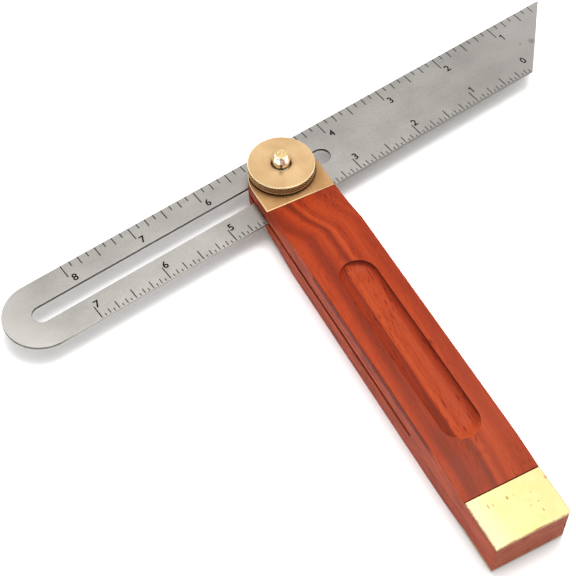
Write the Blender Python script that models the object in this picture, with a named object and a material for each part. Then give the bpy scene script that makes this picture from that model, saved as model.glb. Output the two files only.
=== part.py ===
"""Sliding T-bevel: a hardwood stock with brass plates, a slotted steel blade and a knurled clamp nut.

Frame: the origin is on the pivot axis, at the stock's underside. +X runs along the stock
towards the butt, +Y is the side the blade's pointed end stands out of, +Z is up towards
the clamp nut. Dimensions are in millimetres; everything is built in metres.

A mesh is passed around as a pair: its vertices and its faces.
"""

import math

import bmesh
import bpy
from mathutils import Vector
from mathutils.geometry import tessellate_polygon

MM = 0.001
SHARP_DEG = 35          # edges steeper than this stay sharp on smooth-shaded pieces

# Stock. It is symmetrical about the kerf's middle plane.
GRIP_HALF_T = 7.90
MID_Z = GRIP_HALF_T     # middle plane, above the underside of the grip
HALF_W = 12.45
HEAD_CENTRE_X = 3.3     # centre of the rounded head
HEAD_TIP_X = HEAD_CENTRE_X - HALF_W
HEAD_STATIONS = 14      # sections round the head
TIP_INSET = 0.02        # first section, short of the very tip
BUTT_X = 149.3          # butt end face
CORNER_R = 1.3          # rounded +Y corner of the butt
CORNER_STEPS = 8
EDGE_EASE = 0.35        # long edges of the grip are eased by this much
EASE_MIN = 0.02
EASE_GROWTH = 4         # share of the full easing gained per mm of half thickness

# Stations along the stock, (x, half thickness): a thin head, a hollow ramp up to the grip,
# a flat grip, a short fall to the butt.
HALF_T = (
    (13.7, 5.15), (16.0, 5.38), (19.4, 5.78), (23.8, 6.40), (28.4, 7.32),
    (31.2, 7.84), (32.6, GRIP_HALF_T), (45.0, GRIP_HALF_T), (75.0, GRIP_HALF_T),
    (100.0, GRIP_HALF_T), (119.0, GRIP_HALF_T), (122.0, 7.82), (126.0, 7.50),
    (130.0, 7.12), (132.9, 6.80),
)

# Brass plates
PLATE_T = 0.90
PLATE_HALF_W = HALF_W - 0.02
HEAD_FACE = 5.30                # plate faces, out from the middle plane
BUTT_FACE = 6.90
HEAD_PLATE_X = HALF_T[0][0]     # edge of the head plates towards the butt
BUTT_PLATE_X = HALF_T[-1][0]    # edge of the butt plates towards the head
PLATE_SEAT_GAP = 0.04           # under the plates
HEAD_PLATE_END_GAP = 0.03       # past each plate's inner edge
BUTT_PLATE_END_GAP = 0.12
PIN_R = 1.0
PIN_GAP = 0.04
PIN_LEN = 3.2
PIN_INSET = 0.01                # pin ends sit this far below the plate faces
PIN_HOLE_EXTRA = 0.1            # depth of the holes past the pins
PIN_SEGMENTS = 20
BUTT_PIN_X = (BUTT_PLATE_X + BUTT_X) / 2
HEAD_PINS = ((6.6, -6.6), (6.6, 6.6))
BUTT_PINS = ((BUTT_PIN_X, -7.5), (BUTT_PIN_X, 7.5))

# Saw kerf that takes the blade
KERF_HALF = 0.80
KERF_CLOSE_X = 103.8    # where the kerf closes on the -Y side
KERF_BUTT_Y = 11.2      # where it runs out through the butt face
KERF_BUTT_OVER = 0.4    # the arc is set out to a point this far past that face
KERF_SAW_R = 110.0
KERF_CUT_X = -16.0      # the cutter's end beyond the head
KERF_CUT_Y = 18.0       # the cutter's half width
KERF_CUT_LEAD = 4.0     # from its -Y corner to the arc, along X

# Finger grooves, one on each face of the grip
GROOVE_X = (45.5, 116.0)
GROOVE_HALF_W = 6.35
GROOVE_DEPTH = 2.0
GROOVE_OVER_W = 0.9     # how far the cutter goes past the groove's edge
GROOVE_OVER_Z = 3.0     # how far it stands out of the face
GROOVE_STEPS = 20       # round each end
GROOVE_RINGS = 8        # from the lowest point to the rim

# Blade, drawn along its own length u with the pivot at u = 0
BLADE_W = 25.0
BLADE_HALF_T = 0.5
BLADE_OBTUSE_U = 99.7   # the slanted end: obtuse corner
BLADE_TIP_U = 124.6     # and acute tip
BLADE_ROUND_U = -91.9   # centre of the full-round end
SLOT_W = 6.35
SLOT_U = (-91.8, 16.5)  # centres of the slot's two ends
BLADE_REST_DEG = 98.2   # from the stock's axis to the tip's direction, at rest

# Clamp, heights above the underside
CLAMP_GAP = 0.05        # between the stacked pieces
HEAD_TOP_Z = MID_Z + HEAD_FACE
BOLT_R = 2.9
BOLT_TOP_Z = 21.0
BOLT_HEAD_R = 6.3
BOLT_HEAD_TOP_Z = MID_Z - HEAD_FACE - CLAMP_GAP
BOLT_SEGMENTS = 40
SHANK_GAP = 0.16        # in the stock
PLATE_SHANK_GAP = 0.3   # in the top head plate
NECK_HALF = 2.95
NECK_TOP_Z = MID_Z - 1.3
NECK_OVERLAP = 0.6      # how far the neck runs into the bolt head
NECK_HOLE_HALF = NECK_HALF + 0.10
NECK_HOLE_EXTRA = 0.15  # above the neck
SHIM_R = (3.1, 6.0)     # radii are inner, outer
SHIM_T = 0.17
SHIM_GAP = 0.065
WASHER_R = (3.2, 9.4)
WASHER_T = 0.35
WASHER_Z = HEAD_TOP_Z + CLAMP_GAP
NUT_R = 11.1
NUT_BORE_R = 3.3
NUT_H = 3.0
NUT_Z = WASHER_Z + WASHER_T + CLAMP_GAP
NUT_SEGMENTS = 72


# Scene helpers

def clear_scene():
    for obj in list(bpy.data.objects):
        bpy.data.objects.remove(obj, do_unlink=True)


def make_material(name, color, roughness, metallic):
    material = bpy.data.materials.new(name)
    material.use_nodes = True
    shader = material.node_tree.nodes["Principled BSDF"]
    shader.inputs["Base Color"].default_value = (*color, 1.0)
    shader.inputs["Roughness"].default_value = roughness
    shader.inputs["Metallic"].default_value = metallic
    material.diffuse_color = (*color, 1.0)
    return material


def add_object(name, mesh_data, material, location=(0, 0, 0), angle=0.0, smooth=False, parent=None):
    """A mesh object, drawn relative to its own origin and turned about Z by an angle in degrees."""
    verts, faces = mesh_data
    mesh = bpy.data.meshes.new(name)
    mesh.from_pydata([Vector(v) * MM for v in verts], [], faces)
    mesh.materials.append(material)
    if smooth:
        mesh.polygons.foreach_set("use_smooth", [True] * len(mesh.polygons))
        mesh.set_sharp_from_angle(angle=math.radians(SHARP_DEG))
    mesh.update()
    obj = bpy.data.objects.new(name, mesh)
    bpy.context.scene.collection.objects.link(obj)
    obj.location = Vector(location) * MM
    obj.rotation_euler = (0, 0, math.radians(angle))
    obj.parent = parent
    return obj


def add_boolean(obj, name, helper_name, mesh_data, operation="DIFFERENCE"):
    """Cut a hidden helper solid out of the object, or unite it with the object."""
    helper = add_object(helper_name, mesh_data, obj.data.materials[0])
    helper.hide_render = True
    helper.display_type = "WIRE"
    modifier = obj.modifiers.new(name, "BOOLEAN")
    modifier.operation = operation
    modifier.solver = "EXACT"
    modifier.object = helper


# Outlines and meshes

def circle(center_x, center_y, radius, count):
    angles = [2 * math.pi * i / count for i in range(count)]
    return [(center_x + radius * math.cos(t), center_y + radius * math.sin(t)) for t in angles]


def arc(center_x, center_y, radius, start, end, steps):
    """Points on an arc, ends included, angles in degrees."""
    angles = [math.radians(start + (end - start) * i / steps) for i in range(steps + 1)]
    return [(center_x + radius * math.cos(t), center_y + radius * math.sin(t)) for t in angles]


def signed_area(loop):
    return 0.5 * sum(a[0] * b[1] - b[0] * a[1] for a, b in zip(loop, loop[1:] + loop[:1]))


def plate_mesh(loops, bottom, top):
    """A flat plate: the first loop is its outline, the rest are holes."""
    turned = []
    for i, loop in enumerate(loops):
        wanted = 1 if i == 0 else -1
        turned.append(loop if signed_area(loop) * wanted > 0 else loop[::-1])
    flat = [point for loop in turned for point in loop]
    total = len(flat)
    triangles = []
    for a, b, c in tessellate_polygon([[Vector((x, y, 0)) for x, y in loop] for loop in turned]):
        area = signed_area([flat[a], flat[b], flat[c]])
        triangles.append((a, b, c) if area > 0 else (a, c, b))
    verts = [(x, y, z) for z in (bottom, top) for x, y in flat]
    faces = [(c, b, a) for a, b, c in triangles]
    faces += [(a + total, b + total, c + total) for a, b, c in triangles]
    start = 0
    for loop in turned:
        count = len(loop)
        for i in range(count):
            a, b = start + i, start + (i + 1) % count
            faces.append((a, b, b + total, a + total))
        start += count
    return verts, faces


def ring_mesh(radii, thickness, inner_count, outer_count):
    """A flat washer standing on its own origin."""
    inner, outer = radii
    loops = [circle(0, 0, outer, outer_count), circle(0, 0, inner, inner_count)]
    return plate_mesh(loops, 0, thickness)


def lathe_mesh(profile, segments):
    """A turned solid from (radius, z) points, from the bottom outwards and up.

    The profile may start and end on the axis; otherwise it closes on itself as a ring.
    """
    on_axis = profile[0][0] == 0 and profile[-1][0] == 0
    verts, rows, faces = [], [], []
    for radius, z in profile:
        if radius == 0:
            rows.append([len(verts)] * segments)
            verts.append((0, 0, z))
        else:
            rows.append(list(range(len(verts), len(verts) + segments)))
            verts += [(*point, z) for point in circle(0, 0, radius, segments)]
    pairs = list(zip(rows, rows[1:]))
    if not on_axis:
        pairs.append((rows[-1], rows[0]))
    for low, high in pairs:
        for i in range(segments):
            j = (i + 1) % segments
            # On the axis the quad's repeated corner is dropped, leaving a triangle.
            faces.append(tuple(dict.fromkeys((low[i], low[j], high[j], high[i]))))
    return facing_out((verts, faces))


def box_mesh(x_range, y_range, z_range):
    verts = [(x, y, z) for z in z_range for y in y_range for x in x_range]
    faces = [(0, 2, 3, 1), (4, 5, 7, 6), (0, 1, 5, 4), (2, 6, 7, 3), (0, 4, 6, 2), (1, 3, 7, 5)]
    return verts, faces


def joined(parts):
    """Several meshes as one."""
    verts, faces = [], []
    for part_verts, part_faces in parts:
        base = len(verts)
        verts += part_verts
        faces += [tuple(i + base for i in face) for face in part_faces]
    return verts, faces


def facing_out(mesh_data):
    """The same mesh with its normals recalculated."""
    bm = bmesh.new()
    corners = [bm.verts.new(v) for v in mesh_data[0]]
    for face in mesh_data[1]:
        bm.faces.new([corners[i] for i in face])
    bmesh.ops.recalc_face_normals(bm, faces=bm.faces[:])
    bm.verts.index_update()
    verts = [tuple(v.co) for v in bm.verts]
    faces = [tuple(v.index for v in face.verts) for face in bm.faces]
    bm.free()
    return verts, faces


def z_band(side, *distances):
    """Heights at two distances from the middle plane, lower first; side is 1 above, -1 below."""
    return sorted(MID_Z + side * distance for distance in distances)


# Stock

def half_thickness(x):
    if x <= HALF_T[0][0]:
        return HALF_T[0][1]
    for (x0, half0), (x1, half1) in zip(HALF_T, HALF_T[1:]):
        if x <= x1:
            return half0 + (half1 - half0) * (x - x0) / (x1 - x0)
    return HALF_T[-1][1]


def half_width(x):
    if x >= HEAD_CENTRE_X:
        return HALF_W
    return math.sqrt(max(HALF_W**2 - (HEAD_CENTRE_X - x) ** 2, 0.0))


def section(x):
    """The cross-section at x: (y, z) round one closed loop, its long edges eased in the grip."""
    height = half_thickness(x)
    width = half_width(x)
    growth = min(1.0, max(0.0, height - HALF_T[0][1]) * EASE_GROWTH)
    ease = max(min(EDGE_EASE * growth, width * 0.5), EASE_MIN)
    corner = [(width, height - ease), (width - 0.3 * ease, height - 0.3 * ease), (width - ease, height)]
    upper = corner + [(-y, z) for y, z in corner[::-1]]
    return upper + [(-y, -z) for y, z in upper]


def stock_mesh():
    """The stock block, lofted through its sections from the head to the butt."""
    stations = [HEAD_TIP_X + TIP_INSET]
    for i in range(1, HEAD_STATIONS + 1):
        stations.append(HEAD_CENTRE_X - HALF_W * math.cos(math.radians(90 * i / HEAD_STATIONS)))
    stations += [x for x, _ in HALF_T] + [BUTT_X]
    verts = [(x, y, MID_Z + z) for x in stations for y, z in section(x)]
    count = len(verts) // len(stations)
    last = len(verts) - count
    faces = []
    for row in range(0, last, count):
        for i in range(count):
            j = (i + 1) % count
            faces.append((row + i, row + j, row + count + j, row + count + i))
    faces.append(tuple(range(count)))
    faces.append(tuple(range(last, len(verts))))
    return facing_out((verts, faces))


def corner_cut():
    """What is taken off the butt's +Y corner to round it."""
    over = 1
    x, y = BUTT_X - CORNER_R, HALF_W - CORNER_R
    loop = [(BUTT_X + over, y)] + arc(x, y, CORNER_R, 0, 90, CORNER_STEPS)
    loop += [(x, HALF_W + over), (BUTT_X + over, HALF_W + over)]
    return plate_mesh([loop], -over, 2 * MID_Z + over)


def kerf_cut():
    """The saw kerf: right through the head, closed by the saw's own arc towards the butt."""
    first = Vector((KERF_CLOSE_X, -HALF_W))
    last = Vector((BUTT_X + KERF_BUTT_OVER, KERF_BUTT_Y))
    chord = last - first
    normal = Vector((-chord.y, chord.x)).normalized()
    centre = (first + last) / 2 + normal * math.sqrt(KERF_SAW_R**2 - (chord.length / 2) ** 2)
    start = math.degrees(math.atan2(first.y - centre.y, first.x - centre.x))
    end = math.degrees(math.asin((KERF_CUT_Y - centre.y) / KERF_SAW_R))
    outline = [(KERF_CUT_X, -KERF_CUT_Y), (first.x - KERF_CUT_LEAD, -KERF_CUT_Y)]
    outline += arc(centre.x, centre.y, KERF_SAW_R, start, end, steps=18)
    outline.append((KERF_CUT_X, KERF_CUT_Y))
    return plate_mesh([outline], MID_Z - KERF_HALF, MID_Z + KERF_HALF)


def rebate_cuts():
    """Seats for the plates, on both faces at the head and at the butt."""
    head = (-20, HEAD_PLATE_X + HEAD_PLATE_END_GAP)
    butt = (BUTT_PLATE_X - BUTT_PLATE_END_GAP, 170)
    rebates = []
    for x_range, face in ((head, HEAD_FACE), (butt, BUTT_FACE)):
        for side in (1, -1):
            heights = z_band(side, face - PLATE_T - PLATE_SEAT_GAP, 12)
            rebates.append(box_mesh(x_range, (-20, 20), heights))
    return joined(rebates)


def groove_cut(side):
    """A long round-ended cove cutter for one face: a ball swept along X."""
    radius = (GROOVE_HALF_W**2 + GROOVE_DEPTH**2) / (2 * GROOVE_DEPTH)
    x0, x1 = GROOVE_X[0] + GROOVE_HALF_W, GROOVE_X[1] - GROOVE_HALF_W
    face = MID_Z + side * GRIP_HALF_T
    ball_z = face + side * (radius - GROOVE_DEPTH)
    reach = math.asin((GROOVE_HALF_W + GROOVE_OVER_W) / radius)
    verts, faces, rows = [], [], []
    # Rings of a ball cap about its lowest point; each half ring belongs to one end of the sweep.
    for k in range(1, GROOVE_RINGS + 1):
        polar = reach * k / GROOVE_RINGS
        ring_r = radius * math.sin(polar)
        z = ball_z - side * radius * math.cos(polar)
        ring_start = len(verts)
        for end_x, start in ((x0, math.pi / 2), (x1, -math.pi / 2)):
            for i in range(GROOVE_STEPS + 1):
                turn = start + math.pi * i / GROOVE_STEPS
                verts.append((end_x + ring_r * math.cos(turn), ring_r * math.sin(turn), z))
        rows.append(list(range(ring_start, len(verts))))
    low0, low1 = len(verts), len(verts) + 1
    verts += [(x0, 0, ball_z - side * radius), (x1, 0, ball_z - side * radius)]
    # The rim is carried straight out of the face.
    rim = [verts[i] for i in rows[-1]]
    top = list(range(len(verts), len(verts) + len(rim)))
    verts += [(x, y, face + side * GROOVE_OVER_Z) for x, y, _ in rim]
    rows.append(top)
    count = len(top)
    for inner, outer in zip(rows, rows[1:]):
        for i in range(count):
            j = (i + 1) % count
            faces.append((inner[i], inner[j], outer[j], outer[i]))
    # Fans round the two lowest points, and the strips between them.
    first = rows[0]
    half = GROOVE_STEPS + 1
    for i in range(GROOVE_STEPS):
        faces.append((low0, first[i + 1], first[i]))
        faces.append((low1, first[half + i + 1], first[half + i]))
    faces.append((low0, low1, first[half], first[half - 1]))
    faces.append((low1, low0, first[0], first[-1]))
    faces.append(tuple(top))
    return facing_out((verts, faces))


def pin_hole_loops(pins):
    return [circle(x, y, PIN_R + PIN_GAP, PIN_SEGMENTS) for x, y in pins]


def pin_hole_cuts():
    holes = []
    for pins, face in ((HEAD_PINS, HEAD_FACE), (BUTT_PINS, BUTT_FACE)):
        for loop in pin_hole_loops(pins):
            for side in (1, -1):
                heights = z_band(side, face - PIN_LEN - PIN_HOLE_EXTRA, face + 3)
                holes.append(plate_mesh([loop], *heights))
    return joined(holes)


def add_stock(wood):
    """One block of hardwood, sawn, rebated and bored."""
    shank_loop = circle(0, 0, BOLT_R + SHANK_GAP, BOLT_SEGMENTS)
    neck_span = (-NECK_HOLE_HALF, NECK_HOLE_HALF)
    neck_cut = box_mesh(neck_span, neck_span, (-2.0, NECK_TOP_Z + NECK_HOLE_EXTRA))
    stock = add_object("handle_stock", stock_mesh(), wood, smooth=True)
    add_boolean(stock, "corner", "cut_corner", corner_cut())
    add_boolean(stock, "kerf", "cut_kerf", kerf_cut())
    add_boolean(stock, "rebates", "cut_rebates", rebate_cuts())
    add_boolean(stock, "grooves", "cut_grooves", joined([groove_cut(1), groove_cut(-1)]))
    add_boolean(stock, "shank_hole", "cut_shank", plate_mesh([shank_loop], -3, BOLT_TOP_Z + 1))
    add_boolean(stock, "neck_hole", "cut_neck", neck_cut)
    add_boolean(stock, "pin_holes", "cut_pins", pin_hole_cuts())


# Brass plates and pins

def add_plate_pair(place, outline, pins, face, bolt_holes, brass):
    """The plates on both faces at one end, with their pins; bolt_holes is (top, bottom) loops."""
    for side_name, side, extra_holes in zip(("top", "bottom"), (1, -1), bolt_holes):
        loops = [outline] + pin_hole_loops(pins) + extra_holes
        plate = plate_mesh(loops, *z_band(side, face, face - PLATE_T))
        add_object(f"{place}_plate_{side_name}", plate, brass)
        pin_ends = z_band(side, face - PIN_INSET, face - PIN_LEN)
        for letter, (x, y) in zip("ab", pins):
            pin = plate_mesh([circle(0, 0, PIN_R, PIN_SEGMENTS)], *pin_ends)
            name = f"{place}_pin_{side_name}_{letter}"
            add_object(name, pin, brass, location=(x, y, 0), smooth=True)


def add_head_plates(brass):
    """Round-ended plates; the bolt's shank passes the top one, its square neck the bottom one."""
    outline = [(HEAD_PLATE_X, PLATE_HALF_W)]
    outline += arc(HEAD_CENTRE_X, 0, PLATE_HALF_W, 90, 270, steps=28)
    outline.append((HEAD_PLATE_X, -PLATE_HALF_W))
    shank_hole = circle(0, 0, BOLT_R + PLATE_SHANK_GAP, BOLT_SEGMENTS)
    half = NECK_HOLE_HALF
    neck_hole = [(-half, -half), (half, -half), (half, half), (-half, half)]
    bolt_holes = ([shank_hole], [neck_hole])
    add_plate_pair("head", outline, HEAD_PINS, HEAD_FACE, bolt_holes, brass)


def add_butt_plates(brass):
    """Oblong plates, rounded at the stock's rounded corner."""
    outline = [(BUTT_PLATE_X, -PLATE_HALF_W), (BUTT_X, -PLATE_HALF_W)]
    outline += arc(BUTT_X - CORNER_R, PLATE_HALF_W - CORNER_R, CORNER_R, 0, 90, CORNER_STEPS)
    outline.append((BUTT_PLATE_X, PLATE_HALF_W))
    add_plate_pair("butt", outline, BUTT_PINS, BUTT_FACE, ([], []), brass)


# Clamp and blade

def add_bolt(bright_brass):
    """Low round head below the stock, square neck that keys it there, shank, chamfered point."""
    profile = [
        (0, 0),
        (BOLT_HEAD_R - 1.1, 0),
        (BOLT_HEAD_R - 0.35, 0.25),
        (BOLT_HEAD_R, 0.9),
        (BOLT_HEAD_R, BOLT_HEAD_TOP_Z),
        (BOLT_R, BOLT_HEAD_TOP_Z),
        (BOLT_R, BOLT_TOP_Z - 1.3),
        (BOLT_R - 0.12, BOLT_TOP_Z - 1.05),
        (2.15, BOLT_TOP_Z - 0.12),
        (2.0, BOLT_TOP_Z),
        (0, BOLT_TOP_Z),
    ]
    bolt = add_object("clamp_bolt", lathe_mesh(profile, BOLT_SEGMENTS), bright_brass, smooth=True)
    span = (-NECK_HALF, NECK_HALF)
    neck = box_mesh(span, span, (BOLT_HEAD_TOP_Z - NECK_OVERLAP, NECK_TOP_Z))
    add_boolean(bolt, "square_neck", "add_neck", neck, operation="UNION")


def add_shims(washer_steel, axis):
    """Thin washers that keep the blade off the kerf's walls."""
    offset = BLADE_HALF_T + SHIM_GAP
    for name, z in (
        ("blade_shim_lower", MID_Z - offset - SHIM_T),
        ("blade_shim_upper", MID_Z + offset),
    ):
        ring = ring_mesh(SHIM_R, SHIM_T, inner_count=48, outer_count=48)
        add_object(name, ring, washer_steel, location=(0, 0, z), parent=axis)


def add_blade(steel, axis):
    """Slotted blade, placed by its pivot point and turned to its rest angle."""
    half = BLADE_W / 2
    # The acute tip is slightly blunted.
    outline = [
        (BLADE_OBTUSE_U, -half),
        (BLADE_TIP_U - 0.25, half - 0.25),
        (BLADE_TIP_U - 0.6, half),
    ]
    outline += arc(BLADE_ROUND_U, 0, half, 90, 270, steps=40)
    slot = arc(SLOT_U[1], 0, SLOT_W / 2, -90, 90, steps=14)
    slot += arc(SLOT_U[0], 0, SLOT_W / 2, 90, 270, steps=14)
    blade = plate_mesh([outline, slot], -BLADE_HALF_T, BLADE_HALF_T)
    add_object("blade", blade, steel, location=(0, 0, MID_Z), angle=BLADE_REST_DEG, parent=axis)


def add_washer(washer_steel, axis):
    ring = ring_mesh(WASHER_R, WASHER_T, inner_count=40, outer_count=56)
    add_object("nut_washer", ring, washer_steel, location=(0, 0, WASHER_Z), parent=axis)


def add_nut(brass, axis):
    """Round nut with chamfered rims and bore."""
    profile = [
        (NUT_BORE_R, 0.25),
        (NUT_BORE_R + 0.25, 0.0),
        (NUT_R - 0.45, 0.0),
        (NUT_R, 0.35),
        (NUT_R, NUT_H - 0.40),
        (NUT_R - 0.40, NUT_H),
        (NUT_BORE_R + 0.2, NUT_H),
        (NUT_BORE_R, NUT_H - 0.2),
    ]
    nut = lathe_mesh(profile, NUT_SEGMENTS)
    add_object("clamp_nut", nut, brass, location=(0, 0, NUT_Z), smooth=True, parent=axis)


def main():
    clear_scene()
    wood = make_material("wood", color=(0.50, 0.12, 0.045), roughness=0.5, metallic=0.0)
    brass = make_material("brass", color=(0.80, 0.58, 0.30), roughness=0.36, metallic=1.0)
    bright_brass = make_material(
        "bright_brass", color=(0.90, 0.74, 0.45), roughness=0.16, metallic=1.0
    )
    steel = make_material("steel", color=(0.56, 0.55, 0.53), roughness=0.42, metallic=1.0)
    washer_steel = make_material(
        "washer_steel", color=(0.62, 0.62, 0.63), roughness=0.3, metallic=1.0
    )

    # Parent of everything that turns or slides on the bolt.
    axis = bpy.data.objects.new("pivot_axis", None)
    bpy.context.scene.collection.objects.link(axis)

    add_stock(wood)
    add_head_plates(brass)
    add_butt_plates(brass)
    add_bolt(bright_brass)
    add_shims(washer_steel, axis)
    add_blade(steel, axis)
    add_washer(washer_steel, axis)
    add_nut(brass, axis)
    bpy.context.view_layer.update()


main()
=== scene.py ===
"""Looks of a sliding T-bevel: hardwood stock, brass plates, graduated steel blade, clamp nut.

The stock lies flat along X: rounded head at -X, square butt at +X, underside at z = 0. The clamp
bolt stands on the Z axis and the blade turns about it. Lengths are in millimetres and angles in
degrees, except on the stage, which is in metres.
"""

import math
from collections import Counter

import bmesh
import bpy
import numpy as np
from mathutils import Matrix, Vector
from mathutils.geometry import delaunay_2d_cdt


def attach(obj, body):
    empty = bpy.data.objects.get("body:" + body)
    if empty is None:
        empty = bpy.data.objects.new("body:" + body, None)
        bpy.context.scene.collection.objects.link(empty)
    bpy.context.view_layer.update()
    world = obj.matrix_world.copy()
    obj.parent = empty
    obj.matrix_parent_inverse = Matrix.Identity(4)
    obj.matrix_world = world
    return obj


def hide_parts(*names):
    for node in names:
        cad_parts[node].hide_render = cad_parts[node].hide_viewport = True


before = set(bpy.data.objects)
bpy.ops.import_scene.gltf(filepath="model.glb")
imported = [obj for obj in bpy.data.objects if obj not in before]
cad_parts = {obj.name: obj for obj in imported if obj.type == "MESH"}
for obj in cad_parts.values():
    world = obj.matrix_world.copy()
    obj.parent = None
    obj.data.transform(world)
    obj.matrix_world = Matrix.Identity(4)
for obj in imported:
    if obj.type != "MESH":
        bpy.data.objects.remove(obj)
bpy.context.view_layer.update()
MM = 0.001

# ---------------------------------------------------------------- stock
MID_Z = 7.9  # also half the stock's greatest thickness
TOP_Z = 2 * MID_Z
HALF_WIDTH = 12.45
HEAD_CENTRE_X = 3.3  # centre of the round head
BUTT_X = 149.3
CORNER_R = 1.3  # the butt's rounded corner, on the +Y side
ARRIS_R = 0.35
BUTT_ARRIS_R = 0.22
HEAD_PLATE_X = 13.7  # where the head plates end
BUTT_PLATE_X = 132.9  # where the butt plates begin
THIN_HALF = 5.15  # half thickness of the wood beside the head plates
# x, half thickness
HALF_THICKNESS = (
    (HEAD_PLATE_X, THIN_HALF), (16.0, 5.38), (19.4, 5.78), (23.8, 6.40), (28.4, 7.32),
    (31.2, 7.84), (32.6, MID_Z), (45.0, MID_Z), (75.0, MID_Z), (100.0, MID_Z), (119.0, MID_Z),
    (122.0, 7.82), (126.0, 7.50), (130.0, 7.12), (BUTT_PLATE_X, 6.80),
)
# runs of cross-sections behind the head: first x, limit, spacing
SECTION_RUNS = (
    (5.0, 13.7, 2.0), (13.7, 34.0, 0.5), (35.0, 118.0, 2.0), (118.5, 133.0, 0.5),
)
LAST_SECTION_X = 140.0

# the kerf for the blade, open at the head and closed by an arc
KERF_HALF = 0.80
KERF_SIDE_X = 103.8  # where the arc meets the -Y side
KERF_BUTT_Y = 11.2  # where the arc leaves the butt
KERF_BUTT_RUN = 0.4
KERF_SAW_R = 110.0
KERF_OVERRUN_DEG = 0.731
KERF_FIRST_X = -16.0
KERF_REACH_Y = 18.0

# the dished groove in each broad face
GROOVE_X = (45.2, 116.0)
GROOVE_HALF_WIDTH = 6.35
GROOVE_DEPTH = 2.0
GROOVE_POWER = 2.5  # exponent of the dish's section: 2 is an ellipse

# ---------------------------------------------------------------- plates and pins
PLATE_T = 0.90
HEAD_FACE = 5.30  # height of the plates' outer faces from MID_Z
BUTT_FACE = 6.90
PLATE_INSET = 0.02
SEAT_GAP = 0.02
PIN_R = 1.0
PIN_LENGTH = 3.2
HEAD_PINS = ((6.6, -6.6), (6.6, 6.6))
BUTT_PINS = ((141.1, -7.5), (141.1, 7.5))

# ---------------------------------------------------------------- clamp
HEAD_TOP_Z = MID_Z + HEAD_FACE
BOLT_R = 2.9
BOLT_TOP_Z = 21.0
BOLT_HEAD_R = 6.3
BOLT_HEAD_TOP = MID_Z - HEAD_FACE - 0.05
NECK_HALF = 2.95  # half side of the bolt's square neck
NECK_TOP_Z = MID_Z - 1.3
THREAD_PITCH = 1.0
THREAD_DEPTH = 0.52
WASHER_R = (3.2, 9.4)
WASHER_Z = (HEAD_TOP_Z + 0.05, HEAD_TOP_Z + 0.40)
NUT_R = 11.1
NUT_BORE_R = 3.3
NUT_Z = (HEAD_TOP_Z + 0.45, HEAD_TOP_Z + 3.45)
THREAD_Z = (HEAD_TOP_Z + 0.1, NUT_Z[1] - 0.35)
KNURL_TEETH = 66
KNURL_DEPTH = 0.36
KNURL_ROWS = 22
SHIM_R = (3.1, 6.0)
SHIM_T = 0.17
SHIM_GAP = 0.065

# ---------------------------------------------------------------- blade, before it is turned
BLADE_DEG = 98.2
BLADE_HALF_WIDTH = 12.5
BLADE_HALF_T = 0.5
BLADE_OBTUSE_X = 99.7  # the slanted end's corner on the -Y edge
BLADE_TIP_X = 124.6  # its point on the +Y edge
BLADE_ROUND_X = -91.9  # centre of the round end
BLADE_BEVEL = 0.07
SLOT_R = 6.35 / 2
SLOT_X = (-91.8, 16.5)
ENGRAVED = 0.035
INCH = 25.4
# tick length by the largest number of sixteenths that divides its place
TICK_LENGTHS = {16: 5.3, 8: 4.15, 4: 3.2, 2: 2.15, 1: 1.25}
TICK_EDGE_GAP = 0.13
# edge (sign of y), x of inch 0, inches, sixteenths between ticks,
# width of short and long ticks, shift of the figures from their ticks, y of the figures
SCALES = (
    (-1, 100.36, 7, 1, 0.31, 0.35, 1.45, -6.80),
    (1, 125.36, 8, 2, 0.34, 0.34, 1.75, 6.05),
)
ZERO_AT = (100.2, -6.80)
FIGURE_SIZE = 3.75
FIGURE_BOLD = 0.09
FACE, WALL, MARKED = range(3)  # the blade's material slots


# ---------------------------------------------------------------- mesh helpers
def shade(mesh, sharp):
    """Smooth shading with sharp edges above an angle. Level faces are flat, so that the
    rounded arrises beside them don't bend their shading."""
    mesh.polygons.foreach_set("use_smooth", [True] * len(mesh.polygons))
    mesh.update()
    mesh.set_sharp_from_angle(angle=math.radians(sharp))
    mesh.update()
    curved = [abs(face.normal.z) < 0.99999 for face in mesh.polygons]
    mesh.polygons.foreach_set("use_smooth", curved)


def make_object(name, verts, faces, materials, face_slots=None, sharp=24, angle=0.0):
    """An object from millimetre points, turned by angle about Z."""
    mesh = bpy.data.meshes.new(name)
    mesh.from_pydata([Vector(vert) * MM for vert in verts], [], faces)
    for material in materials:
        mesh.materials.append(material)
    if face_slots is not None:
        mesh.polygons.foreach_set("material_index", face_slots)
    shade(mesh, sharp)
    obj = bpy.data.objects.new(name, mesh)
    bpy.context.scene.collection.objects.link(obj)
    obj.rotation_euler = (0, 0, math.radians(angle))
    return obj


def register(obj, rides_with, cad_piece):
    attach(obj, rides_with)
    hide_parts(cad_piece)


def face_outwards(obj):
    bm = bmesh.new()
    bm.from_mesh(obj.data)
    bmesh.ops.recalc_face_normals(bm, faces=bm.faces[:])
    bm.to_mesh(obj.data)
    bm.free()


def circle(centre_x, centre_y, radius, count):
    turns = [2 * math.pi * i / count for i in range(count)]
    return [(centre_x + radius * math.cos(a), centre_y + radius * math.sin(a)) for a in turns]


def arc(centre_x, centre_y, radius, start, end, count):
    turns = [math.radians(start + (end - start) * i / count) for i in range(count + 1)]
    return [(centre_x + radius * math.cos(a), centre_y + radius * math.sin(a)) for a in turns]


def signed_area(loop):
    pairs = zip(loop, loop[1:] + loop[:1])
    return 0.5 * sum(start[0] * end[1] - end[0] * start[1] for start, end in pairs)


def wound(loop, ccw):
    return loop if (signed_area(loop) > 0) == ccw else loop[::-1]


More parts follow.
